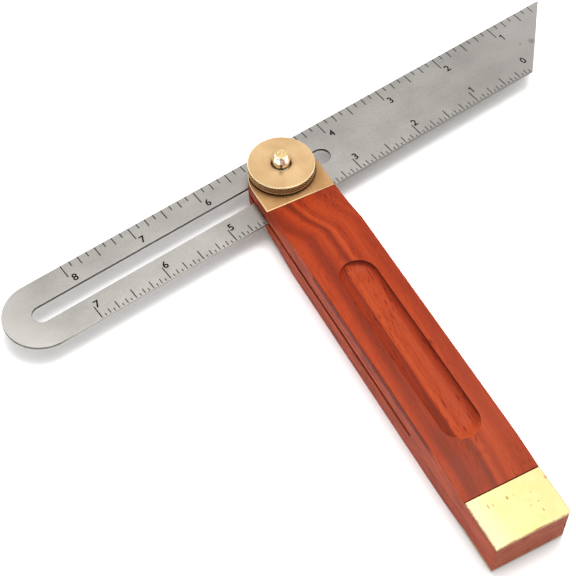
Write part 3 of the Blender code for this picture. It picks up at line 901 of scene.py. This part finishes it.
def bolt_wear(colour, mm, face, grain):
    """A flank painted pale as a highlight, a painted dark reflection down the side towards the
    camera, a darker line in the fine neck under the faced end, and the faced end's own colour.
    """
    x, y, z = mm.split()
    # painted highlight: the flank above the nut is painted pale
    flank = face.rise(0.5, 0.0) * z.rise(BOLT_TOP_Z - 4.5, BOLT_TOP_Z - 4.0)
    colour = mix(flank * 0.75, colour, srgb(253, 247, 232))
    # painted dark reflection down the side facing the camera
    along, across = stain_axes(x, y)
    across = across + (grain - 0.5) * 0.5
    stain_and_painted_reflection = abs(across).rise(0.62, 0.30) * along.rise(0.5, 1.0)
    # darker in the fine neck under the faced end
    low = z.rise(BOLT_TOP_Z - 0.62, BOLT_TOP_Z - 0.72)
    neck_dark = radius_of(x, y).rise(2.24, 2.16) * low
    colour = mix(flank * maximum(stain_and_painted_reflection * 0.72, neck_dark * 0.8), colour, srgb(104, 76, 48))
    faced = noise(mm, stretch=(1.3, 3.6, 1.0), rough=0.6).rise(0.36, 0.62)
    return mix(face, colour, mix(faced, srgb(196, 164, 112), srgb(232, 206, 150)))


def turned_material(name, base, pale, rough, end_rough=None):
    """Bright turned metal; if end_rough is given, it is the bolt, with a duller faced end."""
    material, mm = new_material(name)
    x, y, z = mm.split()
    rings = noise(radius_of(x, y) * 6.0 + z * 7.0, flat=True)
    cloud = noise(mm, scale=0.7)
    grain = noise(mm, scale=7.0)
    colour = mix(cloud.rise(0.35, 0.65), base, pale)
    rough = rough + cloud * 0.05 + rings * 0.04
    if end_rough is not None:
        face = surface_normal(mm.tree).split()[2].rise(0.93, 0.985)
        colour = bolt_wear(colour, mm, face, grain)
        rough = blend(face, rough, end_rough + grain * 0.10)
    soft = rounded_normal(mm.tree, radius=0.10)
    normal = bump(rings * 0.8 + grain * 0.3, distance=0.004, normal=soft)
    return finished(material, colour, rough, normal)


WOOD = wood_material()
HEAD_BRASS = brass_material(
    "head_plate_brass",
    pale=srgb(186, 147, 103), base=srgb(170, 130, 86), dark=srgb(126, 92, 56),
    rough=0.36, scratches=(0.05, 3.2, 1.0), edge_highlight=0.9, edge_colour=srgb(252, 236, 186),
    painted_nut_shade=(11.2, 14.2),
)
BUTT_BRASS = brass_material(
    "butt_plate_brass",
    pale=srgb(184, 163, 120), base=srgb(172, 152, 103), dark=srgb(140, 116, 72),
    rough=0.45, scratches=(2.2, 0.09, 1.0), edge_highlight=0.3, edge_colour=srgb(184, 163, 120),
    spots=BUTT_SPOTS, pale_side=(-2.0, -9.5), burred=True,
)
NUT_FACE = nut_face_material()
NUT_KNURL = nut_knurl_material()
BOLT_BRASS = turned_material(
    "bolt_brass", base=srgb(246, 226, 178), pale=srgb(254, 242, 212), rough=0.10, end_rough=0.30
)
STEEL = blade_material()
STEEL_EDGE = blade_edge_material()
MARK_BLACK = blade_mark_material()
WASHER_STEEL = turned_material(
    "washer_steel", base=srgb(170, 168, 166), pale=srgb(196, 194, 190), rough=0.28
)


# ---------------------------------------------------------------- stock
def half_thickness(x):
    """Monotone cubic through HALF_THICKNESS."""
    places = [row[0] for row in HALF_THICKNESS]
    heights = [row[1] for row in HALF_THICKNESS]
    if x <= places[0]:
        return heights[0]
    if x >= places[-1]:
        return heights[-1]
    slopes = [
        (heights[i + 1] - heights[i]) / (places[i + 1] - places[i])
        for i in range(len(places) - 1)
    ]
    tangents = [slopes[0]]
    for before, after in zip(slopes, slopes[1:]):
        flat = before * after <= 0
        tangents.append(0.0 if flat else 2 * before * after / (before + after))
    tangents.append(slopes[-1])
    i = max(k for k in range(len(places) - 1) if places[k] <= x)
    span = places[i + 1] - places[i]
    part = (x - places[i]) / span
    rest = 1 - part
    return (
        heights[i] * (1 + 2 * part) * rest**2
        + tangents[i] * span * part * rest**2
        + heights[i + 1] * part * part * (3 - 2 * part)
        + tangents[i + 1] * span * part * part * (part - 1)
    )


def stock_section(x, shrink):
    """One closed loop (y, z from MID_Z) at a station, its four corners rounded."""
    height = half_thickness(x) - shrink
    width = HALF_WIDTH
    if x < HEAD_CENTRE_X:
        width = math.sqrt(max(HALF_WIDTH**2 - (HEAD_CENTRE_X - x) ** 2, 0.0))
    width -= shrink
    # the arrises sharpen where the wood meets the head plates
    ease = ARRIS_R * min(1.0, max(0.0, height - THIN_HALF) * 4)
    ease = min(max(ease, 0.04), width * 0.5)
    angles = [math.pi / 2 * k / 4 for k in range(5)]
    quarter = [
        (width - ease + ease * math.cos(a), height - ease + ease * math.sin(a)) for a in angles
    ]
    loop = quarter + [(-y, z) for y, z in quarter[::-1]]
    return loop + [(-y, -z) for y, z in quarter] + [(y, -z) for y, z in quarter[::-1]]


def stock_mesh():
    tip = HEAD_CENTRE_X - HALF_WIDTH
    places = [tip + 0.02]
    places += [
        HEAD_CENTRE_X - HALF_WIDTH * math.cos(math.radians(90 * i / 40)) for i in range(1, 41)
    ]
    for run in SECTION_RUNS:
        places += list(np.arange(*run))
    stations = [(x, 0.0) for x in places + [LAST_SECTION_X]]
    for k in range(5):
        angle = math.pi / 2 * k / 4
        x = BUTT_X - BUTT_ARRIS_R + BUTT_ARRIS_R * math.sin(angle)
        stations.append((x, BUTT_ARRIS_R * (1 - math.cos(angle))))
    verts, rows, faces = [], [], []
    for x, shrink in stations:
        section = stock_section(x, shrink)
        rows.append(list(range(len(verts), len(verts) + len(section))))
        verts += [(x, y, MID_Z + z) for y, z in section]
    for row, following in zip(rows, rows[1:]):
        faces += bridge(row, following)
    return verts, faces + [tuple(rows[0]), tuple(rows[-1])]


def kerf_outline():
    side = Vector((KERF_SIDE_X, -HALF_WIDTH))
    butt = Vector((BUTT_X + KERF_BUTT_RUN, KERF_BUTT_Y))
    along = butt - side
    half = along.length / 2
    left = Vector((-along.y, along.x)).normalized()
    centre = (side + butt) / 2 + left * math.sqrt(KERF_SAW_R**2 - half**2)
    start = math.degrees(math.atan2(side.y - centre.y, side.x - centre.x)) - KERF_OVERRUN_DEG
    end = math.degrees(math.asin((KERF_REACH_Y - centre.y) / KERF_SAW_R))
    path = arc(centre.x, centre.y, KERF_SAW_R, start, end, 61)
    first = [(KERF_FIRST_X, -KERF_REACH_Y), (path[0][0] - 1.3, -KERF_REACH_Y)]
    return first + path + [(KERF_FIRST_X, KERF_REACH_Y)]


def groove_tool(sign):
    """A dish with a steep rim swept along the groove of the upper (1) or lower (-1) face, with
    walls beyond the face so that it cuts cleanly."""
    ends = (GROOVE_X[0] + GROOVE_HALF_WIDTH, GROOVE_X[1] - GROOVE_HALF_WIDTH)
    face = MID_Z + sign * MID_Z
    around, rings = 40, 30
    verts, faces, rows = [], [], []
    for k in range(1, rings + 1):
        # rings crowd towards the rim
        angle = math.pi / 2 * k / rings
        radius = GROOVE_HALF_WIDTH * math.sin(angle) ** (2 / GROOVE_POWER)
        depth = GROOVE_DEPTH * math.cos(angle) ** (2 / GROOVE_POWER) if k < rings else 0.0
        rows.append(list(range(len(verts), len(verts) + 2 * (around + 1))))
        for centre, start in zip(ends, (math.pi / 2, -math.pi / 2)):
            for i in range(around + 1):
                turn = start + math.pi * i / around
                verts.append((
                    centre + radius * math.cos(turn), radius * math.sin(turn),
                    face - sign * depth,
                ))
    for row, outer in zip(rows, rows[1:]):
        faces += bridge(row, outer)
    # the bottom: a fan at each end and two quads between them
    low, high = len(verts), len(verts) + 1
    verts += [(x, 0, face - sign * GROOVE_DEPTH) for x in ends]
    first, half = rows[0], around + 1
    for i in range(around):
        faces.append((low, first[i + 1], first[i]))
        faces.append((high, first[half + i + 1], first[half + i]))
    faces.append((low, high, first[half], first[half - 1]))
    faces.append((high, low, first[0], first[-1]))
    lid = list(range(len(verts), len(verts) + len(first)))
    verts += [(verts[i][0], verts[i][1], face + sign * 3.0) for i in rows[-1]]
    faces += bridge(rows[-1], lid)
    faces.append(tuple(lid))
    return verts, faces


def plate_rebates():
    parts = []
    head_x = (-20, HEAD_PLATE_X + 0.05)
    butt_x = (BUTT_PLATE_X - 0.32, 170)
    for x, face in ((head_x, HEAD_FACE), (butt_x, BUTT_FACE)):
        seat = face - PLATE_T - SEAT_GAP
        parts.append(box_mesh(x, (-20, 20), (MID_Z + seat, MID_Z + 12)))
        parts.append(box_mesh(x, (-20, 20), (MID_Z - 12, MID_Z - seat)))
    return joined(parts)


def pin_holes():
    holes = []
    for pins, face in ((HEAD_PINS, HEAD_FACE), (BUTT_PINS, BUTT_FACE)):
        inner = face - PIN_LENGTH - 0.1
        for x, y in pins:
            hole = circle(x, y, PIN_R + 0.04, 32)
            holes.append(prism(hole, MID_Z + inner, MID_Z + face + 3))
            holes.append(prism(hole, MID_Z - face - 3, MID_Z - inner))
    return joined(holes)


def build_stock():
    obj = make_object("stock", *stock_mesh(), [WOOD])
    face_outwards(obj)
    x, y = BUTT_X - CORNER_R, HALF_WIDTH - CORNER_R
    corner = [(BUTT_X + 1, y)] + arc(x, y, CORNER_R, 0, 90, 20)
    corner += [(x, HALF_WIDTH + 1), (BUTT_X + 1, HALF_WIDTH + 1)]
    apply_boolean(obj, prism(corner, -1, TOP_Z + 1))
    apply_boolean(obj, prism(kerf_outline(), MID_Z - KERF_HALF, MID_Z + KERF_HALF))
    apply_boolean(obj, plate_rebates())
    apply_boolean(obj, groove_tool(1))
    apply_boolean(obj, groove_tool(-1))
    apply_boolean(obj, prism(circle(0, 0, BOLT_R + 0.16, 64), -3, BOLT_TOP_Z + 1))
    apply_boolean(obj, square_bar(NECK_HALF + 0.10, -2.0, NECK_TOP_Z + 0.15))
    apply_boolean(obj, pin_holes())
    shade(obj.data, sharp=24)
    register(obj, "stock", "handle_stock")


# ---------------------------------------------------------------- plates, pins
def build_pin(piece, x, y, face, sign, material):
    outer, inner = MID_Z + sign * (face - 0.001), MID_Z + sign * (face - PIN_LENGTH)
    corners = [
        (0, inner, 0), (PIN_R * 0.7, inner, 0), (PIN_R - 0.02, inner + sign * 0.4, 0.05),
        (PIN_R, outer, 0.006), (0, outer, 0),
    ]
    profile = fillet_profile(corners, steps=3, support=False)
    verts, faces = lathe(profile[::sign], 40)
    verts = [(vert[0] + x, vert[1] + y, vert[2]) for vert in verts]
    pin = make_object(f"{piece}_brass", verts, faces, [material], sharp=30)
    face_outwards(pin)
    register(pin, "stock", piece)


def build_plates():
    width = HALF_WIDTH - PLATE_INSET
    head = [(HEAD_PLATE_X, width)] + arc(HEAD_CENTRE_X, 0, width, 90, 270, 96)
    head += [(HEAD_PLATE_X, -width)]
    butt = [(BUTT_PLATE_X, -width), (BUTT_X, -width)]
    butt += arc(BUTT_X - CORNER_R, width - CORNER_R, CORNER_R, 0, 90, 24)
    butt += [(BUTT_PLATE_X, width)]
    neck = NECK_HALF + 0.12
    clamp_holes = {
        "head_plate_top": [circle(0, 0, BOLT_R + 0.3, 64)],
        "head_plate_bottom": [[(-neck, -neck), (neck, -neck), (neck, neck), (-neck, neck)]],
    }
    for place, outline, pins, face, bevel, material in (
        ("head", head, HEAD_PINS, HEAD_FACE, 0.28, HEAD_BRASS),
        ("butt", butt, BUTT_PINS, BUTT_FACE, 0.14, BUTT_BRASS),
    ):
        for side, sign in (("top", 1), ("bottom", -1)):
            piece = f"{place}_plate_{side}"
            bottom, top = sorted((MID_Z + sign * face, MID_Z + sign * (face - PLATE_T)))
            holes = [circle(x, y, PIN_R + 0.002, 40) for x, y in pins]
            holes += clamp_holes.get(piece, [])
            mesh = plate_mesh(outline, holes, bottom, top, bevel, hole_bevel=0.003)
            plate = make_object(f"{piece}_brass", *mesh, [material])
            register(plate, "stock", piece)
            for letter, (x, y) in zip("ab", pins):
                build_pin(f"{place}_pin_{side}_{letter}", x, y, face, sign, material)


# ---------------------------------------------------------------- clamp bolt, nut, washer, shims
def thread_radius(radius, z, angle, _row):
    """A helical groove in the bolt's shank between the two heights of THREAD_Z."""
    low, high = THREAD_Z
    if abs(radius - BOLT_R) > 1e-6 or not low - 1e-6 <= z <= high + 1e-6:
        return radius
    fade = min(1.0, (z - low) / 0.5, (high - z) / 0.5)
    phase = ((z - low) / THREAD_PITCH - angle / (2 * math.pi)) % 1.0
    depth = min(1.0, max(0.0, 1.15 - abs(phase - 0.5) * 3.0))
    return BOLT_R - THREAD_DEPTH * depth * max(0.0, fade)


def build_bolt():
    low, high = THREAD_Z
    # radius, z, fillet
    profile = fillet_profile(
        [
            (0, 0.0, 0), (BOLT_HEAD_R - 1.0, 0.0, 0.6), (BOLT_HEAD_R - 0.25, 0.35, 0.5),
            (BOLT_HEAD_R, 1.1, 0.4), (BOLT_HEAD_R, BOLT_HEAD_TOP, 0.15),
            (BOLT_R, BOLT_HEAD_TOP, 0.1), (BOLT_R, low, 0),
        ],
        steps=4,
    )
    rows = int((high - low) / THREAD_PITCH * 12)
    profile += [(BOLT_R, low + (high - low) * k / rows) for k in range(1, rows + 1)]
    # a taper, a fine neck and the faced end
    profile += fillet_profile(
        [
            (BOLT_R, high + 0.25, 0), (BOLT_R, BOLT_TOP_Z - 2.50, 0.4),
            (2.20, BOLT_TOP_Z - 0.86, 0.04), (2.08, BOLT_TOP_Z - 0.78, 0.02),
            (2.20, BOLT_TOP_Z - 0.66, 0.03), (1.92, BOLT_TOP_Z - 0.22, 0.06),
            (0, BOLT_TOP_Z - 0.20, 0),
        ],
        steps=5,
    )
    mesh = lathe(profile, 96, thread_radius)
    obj = make_object("clamp_bolt_brass", *mesh, [BOLT_BRASS], sharp=32)
    face_outwards(obj)
    apply_boolean(obj, square_bar(NECK_HALF, BOLT_HEAD_TOP - 0.6, NECK_TOP_Z), "UNION")
    shade(obj.data, sharp=32)
    register(obj, "stock", "clamp_bolt")
    # no caustic of the polished end on the nut
    obj.visible_glossy = False
    obj.visible_diffuse = False


def build_nut():
    """Crossed grooves are cut round the nut's side between two plain bands."""
    low, high = NUT_Z
    side_low, side_high = low + 0.04, high - 0.36
    lip = low - 0.28  # the underside is recessed for the washer
    recess_r = WASHER_R[1] + 0.35
    segments = KNURL_TEETH * 10
    profile = fillet_profile(
        [
            (NUT_BORE_R, low + 0.3, 0), (NUT_BORE_R + 0.3, low, 0.05), (recess_r, low, 0.04),
            (recess_r + 0.1, lip, 0.04), (NUT_R - 0.14, lip, 0.04), (NUT_R, lip + 0.14, 0.04),
            (NUT_R, side_low - 0.02, 0), (NUT_R, side_low, 0),
        ],
        steps=3,
    )
    first = len(profile)
    height = side_high - side_low
    profile += [(NUT_R, side_low + height * k / KNURL_ROWS) for k in range(1, KNURL_ROWS)]
    last = len(profile)
    profile += fillet_profile(
        [
            (NUT_R, side_high, 0), (NUT_R, high - 0.24, 0.05), (NUT_R - 0.24, high, 0.08),
            (NUT_BORE_R + 0.35, high, 0.10), (NUT_BORE_R, high - 0.35, 0.10),
            (NUT_BORE_R, high - 0.6, 0),
        ],
        steps=4,
    )
    pitch = 2 * math.pi * NUT_R / KNURL_TEETH

    def groove(phase):
        return max(0.0, (abs((phase % 1.0) - 0.5) * 2.0 - 0.45) / 0.55)

    def knurl_radius(radius, z, angle, row):
        if not first <= row < last:
            return radius
        across = angle * KNURL_TEETH / (2 * math.pi)
        up = (z - side_low) / pitch * 0.95
        fade = min(1.0, (z - side_low) / 0.18, (side_high - z) / 0.18)
        return NUT_R - KNURL_DEPTH * max(groove(across + up), groove(across - up)) * fade

    slots = []
    for k in range(len(profile)):
        slots += [int(first - 1 <= k < last)] * segments
    mesh = lathe(profile, segments, knurl_radius)
    obj = make_object("clamp_nut_brass", *mesh, [NUT_FACE, NUT_KNURL], slots, sharp=38)
    face_outwards(obj)
    register(obj, "nut", "clamp_nut")


def build_rings():
    lower = MID_Z - BLADE_HALF_T - SHIM_GAP - SHIM_T
    upper = MID_Z + BLADE_HALF_T + SHIM_GAP
    # piece, what it rides with, radii, outer segments, bottom and top, bevel
    for piece, rides_with, radii, count, heights, bevel in (
        ("nut_washer", "washer", WASHER_R, 128, WASHER_Z, 0.07),
        ("blade_shim_lower", "pivot_shims", SHIM_R, 96, (lower, lower + SHIM_T), 0.03),
        ("blade_shim_upper", "pivot_shims", SHIM_R, 96, (upper, upper + SHIM_T), 0.03),
    ):
        hole = circle(0, 0, radii[0], 64)
        mesh = plate_mesh(circle(0, 0, radii[1], count), [hole], *heights, bevel)
        obj = make_object(f"{piece}_steel", *mesh, [WASHER_STEEL])
        register(obj, rides_with, piece)


# ---------------------------------------------------------------- blade
def boundary_loops(mesh):
    """Outlines of a flat mesh, as lists of (x, y)."""
    bm = bmesh.new()
    bm.from_mesh(mesh)
    bmesh.ops.remove_doubles(bm, verts=bm.verts[:], dist=1e-5)
    edges = {edge for edge in bm.edges if edge.is_boundary}
    loops = []
    while edges:
        edge = edges.pop()
        start, vert = edge.verts[0], edge.verts[1]
        loop = [start.co.copy(), vert.co.copy()]
        while vert is not start:
            onward = [link for link in vert.link_edges if link in edges]
            if not onward:
                break
            edge = onward[0]
            edges.discard(edge)
            vert = edge.other_vert(vert)
            if vert is not start:
                loop.append(vert.co.copy())
        if len(loop) > 2:
            loops.append([(point.x, point.y) for point in loop])
    bm.free()
    return loops


def digit_loops(digit):
    """Outline loops of a bold figure, centred on the origin."""
    curve = bpy.data.curves.new("figure", "FONT")
    curve.body = digit
    curve.size = FIGURE_SIZE
    curve.offset = FIGURE_BOLD
    curve.resolution_u = 5
    obj = bpy.data.objects.new("figure", curve)
    bpy.context.scene.collection.objects.link(obj)
    bpy.context.view_layer.update()
    graph = bpy.context.evaluated_depsgraph_get()
    mesh = bpy.data.meshes.new_from_object(obj.evaluated_get(graph))
    loops = boundary_loops(mesh)
    bpy.data.meshes.remove(mesh)
    bpy.data.objects.remove(obj)
    bpy.data.curves.remove(curve)
    across = [x for loop in loops for x, y in loop]
    up = [y for loop in loops for x, y in loop]
    if digit == "1":  # a plain stem with a slanting flag, as high as the font's
        top = (max(up) - min(up)) / 2
        return [[
            (0.46, -top), (0.46, top), (0.06, top), (-0.62, top - 0.46), (-0.62, top - 0.92),
            (0.0, top - 0.58), (0.0, -top),
        ]]
    centre_x, centre_y = (min(across) + max(across)) / 2, (min(up) + max(up)) / 2
    return [[(x - centre_x, y - centre_y) for x, y in loop] for loop in loops]


def point_in(loop, point):
    x, y = point
    inside = False
    for (x0, y0), (x1, y1) in zip(loop, loop[1:] + loop[:1]):
        if (y0 > y) != (y1 > y) and x < (x1 - x0) * (y - y0) / (y1 - y0) + x0:
            inside = not inside
    return inside


def blade_marks(limit):
    """The graduations whole within the limit, and the figures: each mark is a list of loops."""
    ticks, figures = [], []
    loops = {digit: digit_loops(digit) for digit in "012345678"}

    def add_figure(digit, at_x, at_y):
        figures.append([[(at_x + x, at_y + y) for x, y in loop] for loop in loops[digit]])

    for edge, zero, inches, stride, thin, thick, shift, figure_y in SCALES:
        for k in range(0, inches * 16 + 1, stride):
            step = max(size for size in TICK_LENGTHS if k % size == 0)
            x = zero - INCH * k / 16
            half = (thin if step < 8 else thick) / 2
            outer = edge * (BLADE_HALF_WIDTH - TICK_EDGE_GAP)
            inner = edge * (BLADE_HALF_WIDTH - TICK_LENGTHS[step])
            tick = [(x - half, outer), (x + half, outer), (x + half, inner), (x - half, inner)]
            if all(point_in(limit, point) for point in tick):
                ticks.append([wound(tick, True)])
        for k in range(1, inches + 1):
            add_figure(str(k), zero - INCH * k + shift, figure_y)
        if edge < 0:
            add_figure("0", *ZERO_AT)
    return ticks + figures


def blade_outlines():
    half, tip = BLADE_HALF_WIDTH, BLADE_TIP_X
    outer = [
        (BLADE_OBTUSE_X, -half), (tip - 0.25, half - 0.25), (tip - 0.42, half - 0.07),
        (tip - 0.6, half),
    ]
    outer += arc(BLADE_ROUND_X, 0, half, 90, 270, 96)
    slot = arc(SLOT_X[1], 0, SLOT_R, -90, 90, 40) + arc(SLOT_X[0], 0, SLOT_R, 90, 270, 40)
    return wound(outer, True), wound(slot, False)


def engraved_face(verts, rims, outlines, marks, top):
    """Triangles of the top face, with the marks sunk into it; adds its points to verts.
    rims are the vertex numbers of the outlines. Returns faces and their slots."""
    # which mark each triangulated loop belongs to; the first two are the outlines
    owners = [None, None] + [k for k, mark in enumerate(marks) for _ in mark]
    loops = outlines + [loop for mark in marks for loop in mark]
    corners, triangles, point_sources, loop_sources = delaunay(loops, 1e-6)
    top_ids, floor_ids = {}, {}
    for i, sources in enumerate(point_sources):
        for source in sources:
            if source < len(rims):
                top_ids[i] = rims[source]

    def vertex(ids, i, z):
        if i not in ids:
            ids[i] = len(verts)
            verts.append((corners[i].x, corners[i].y, z))
        return ids[i]

    def top_id(i):
        return vertex(top_ids, i, top)

    def floor_id(i):
        return vertex(floor_ids, i, top - ENGRAVED)

    kept = {}
    for triangle, sources in zip(triangles, loop_sources):
        if 0 not in sources or 1 in sources:
            continue
        # inside an odd number of a mark's loops is inside the mark
        counts = Counter(owners[source] for source in sources if source > 1)
        first, second, third = (corners[i] for i in triangle)
        if (second - first).cross(third - first) <= 0:
            triangle = (triangle[0], triangle[2], triangle[1])
        kept[tuple(triangle)] = any(count % 2 for count in counts.values())

    def sides(triangle):
        return [(triangle[i], triangle[(i + 1) % 3]) for i in range(3)]

    plain_sides = {side for triangle, dark in kept.items() if not dark for side in sides(triangle)}
    faces, slots = [], []
    for triangle, dark in kept.items():
        if not dark:
            faces.append(tuple(top_id(i) for i in triangle))
            slots.append(FACE)
            continue
        faces.append(tuple(floor_id(i) for i in triangle))
        slots.append(MARKED)
        for start, end in sides(triangle):
            if (end, start) in plain_sides:
                faces.append((floor_id(end), floor_id(start), top_id(start), top_id(end)))
                slots.append(MARKED)
    return faces, slots


def build_blade():
    bottom, top = MID_Z - BLADE_HALF_T, MID_Z + BLADE_HALF_T
    outlines = blade_outlines()
    bevel, chamfer = BLADE_BEVEL, BLADE_BEVEL * 0.29
    verts, faces = [], []
    low_rim, high_rim = [], []
    for loop in outlines:
        rows = []
        for distance, z in (
            (bevel, bottom), (chamfer, bottom + chamfer), (0, bottom + bevel),
            (0, top - bevel), (chamfer, top - chamfer), (bevel, top),
        ):
            ring = inset(loop, distance) if distance else loop
            rows.append(list(range(len(verts), len(verts) + len(ring))))
            verts += [(x, y, z) for x, y in ring]
        for low, high in zip(rows, rows[1:]):
            faces += bridge(low, high)
        low_rim += rows[0]
        high_rim += rows[-1]
    slots = [WALL] * len(faces)
    marks = blade_marks(inset(outlines[0], bevel + 0.03))
    inner = [inset(loop, bevel) for loop in outlines]
    top_faces, top_slots = engraved_face(verts, high_rim, inner, marks, top)
    flat = [verts[i][:2] for i in low_rim]
    count = len(outlines[0])
    under = [
        tuple(low_rim[i] for i in triangle[::-1])
        for triangle in cap_triangles(flat[:count], [flat[count:]])
    ]
    faces += top_faces + under
    slots += top_slots + [FACE] * len(under)
    materials = [STEEL, STEEL_EDGE, MARK_BLACK]
    obj = make_object("blade_steel", verts, faces, materials, slots, sharp=20, angle=BLADE_DEG)
    register(obj, "blade", "blade")


build_stock()
build_plates()
build_bolt()
build_nut()
build_rings()
build_blade()


# ---------------------------------------------------------------- floor, light, camera (metres)
FLOOR_HALF = 3.0
# height of the direction (z of the unit vector), radiance
SKY = ((0.0, 1.20), (0.30, 1.15), (0.58, 0.95), (0.80, 0.56), (1.0, 0.60))
SKY_GAIN = 2.0  # the ramp holds the radiance divided by this
# a slightly darker upright strip of the sky, on the camera's side
DARK_BEARING = (0.887, -0.46)
DARK_HALF_ANGLES = (10, 22)  # full within the first, gone beyond the second
DARK_HEIGHTS = (0.86, 0.94)  # fades out between these
DARK_DEPTH = 0.15
LAMP_BEARING = (-0.75, 0.66)
LAMP_ELEVATION = 78
LAMP_DISTANCE = 0.9
LAMP_TARGET = (0.06, 0.0, 0.0)
CAMERA_AT = (0.282315, -0.148373, 0.39182)
CAMERA_BEARING = (-0.88195, 0.47134, 0)
CAMERA_PITCH_DOWN = 54.411


def build_floor():
    half = FLOOR_HALF
    corners = [(-half, -half, 0), (half, -half, 0), (half, half, 0), (-half, half, 0)]
    mesh = bpy.data.meshes.new("floor")
    mesh.from_pydata(corners, [], [(0, 1, 2, 3)])
    floor = bpy.data.objects.new("floor", mesh)
    floor.location = (0.07, 0, -0.00002)
    bpy.context.scene.collection.objects.link(floor)
    material, mm = new_material("floor_paper")
    colour = mix(noise(mm, scale=0.4), (0.94, 0.94, 0.94, 1), (0.97, 0.97, 0.97, 1))
    specular = {"Specular IOR Level": 0.1}
    mesh.materials.append(finished(material, colour, 0.9, metallic=0.0, others=specular))
    return floor


def build_world():
    world = bpy.data.worlds.new("studio")
    bpy.context.scene.world = world
    world.use_nodes = True
    tree = world.node_tree
    tree.nodes.clear()

    def pair(operation, first, second):
        """A math node with its third input left alone."""
        return value_of(tree, "ShaderNodeMath", {0: first, 1: second}, operation=operation)

    x, y, z = value_of(tree, "ShaderNodeTexCoord", output="Generated").split()
    stops = [(height, (radiance / SKY_GAIN,) * 3 + (1,)) for height, radiance in SKY]
    sky = colour_ramp(z, stops, "EASE")
    bearing = Vector(DARK_BEARING).normalized()
    ahead = pair("ADD", pair("MULTIPLY", x, bearing.x), pair("MULTIPLY", y, bearing.y))
    across = pair("SUBTRACT", pair("MULTIPLY", y, bearing.x), pair("MULTIPLY", x, bearing.y))
    angle = pair("ABSOLUTE", pair("ARCTAN2", across, ahead), 0.0)
    full, gone = (math.radians(half) for half in DARK_HALF_ANGLES)
    strip = pair("MULTIPLY", angle.rise(gone, full), z.rise(DARK_HEIGHTS[1], DARK_HEIGHTS[0]))
    dim = pair("SUBTRACT", 1.0, pair("MULTIPLY", strip, DARK_DEPTH))
    strength = pair("MULTIPLY", dim, SKY_GAIN)
    background = value_of(tree, "ShaderNodeBackground", {0: sky, 1: strength})
    add_node(tree, "ShaderNodeOutputWorld", {0: background})


def add_lamp(name, size, radiance):
    light = bpy.data.lights.new(name, "AREA")
    light.shape = "DISK"
    light.size = size
    light.energy = radiance * math.pi * math.pi * (size / 2) ** 2
    obj = bpy.data.objects.new(name, light)
    bearing = Vector(LAMP_BEARING).normalized()
    rise = math.radians(LAMP_ELEVATION)
    level = math.cos(rise)
    towards = Vector((bearing.x * level, bearing.y * level, math.sin(rise))).normalized()
    obj.location = Vector(LAMP_TARGET) + towards * LAMP_DISTANCE
    obj.rotation_mode = "QUATERNION"
    obj.rotation_quaternion = (-towards).to_track_quat("-Z", "Y")
    bpy.context.scene.collection.objects.link(obj)
    return obj


def build_lights(floor):
    add_lamp("overhead_softbox", size=0.50, radiance=10.5)
    # a wide, soft light for the paper only, so that it stays white under the tool
    paper = bpy.data.collections.new("paper_only")
    paper.objects.link(floor)
    wash = add_lamp("paper_wash", size=1.3, radiance=1.42)
    wash.light_linking.receiver_collection = paper


def build_camera():
    camera = bpy.data.cameras.new("camera")
    camera.lens = 94.03
    camera.sensor_width = 36.0
    camera.clip_start = 0.01
    camera.clip_end = 20.0
    obj = bpy.data.objects.new("camera", camera)
    bpy.context.scene.collection.objects.link(obj)
    obj.location = CAMERA_AT
    pitch = math.radians(CAMERA_PITCH_DOWN)
    ahead = Vector(CAMERA_BEARING).normalized() * math.cos(pitch)
    ahead += Vector((0, 0, -math.sin(pitch)))
    obj.rotation_mode = "QUATERNION"
    obj.rotation_quaternion = ahead.to_track_quat("-Z", "Y")
    bpy.context.scene.camera = obj


paper_floor = build_floor()
build_world()
build_lights(paper_floor)
build_camera()
bpy.context.scene.view_settings.view_transform = "Standard"
bpy.context.scene.view_settings.look = "None"
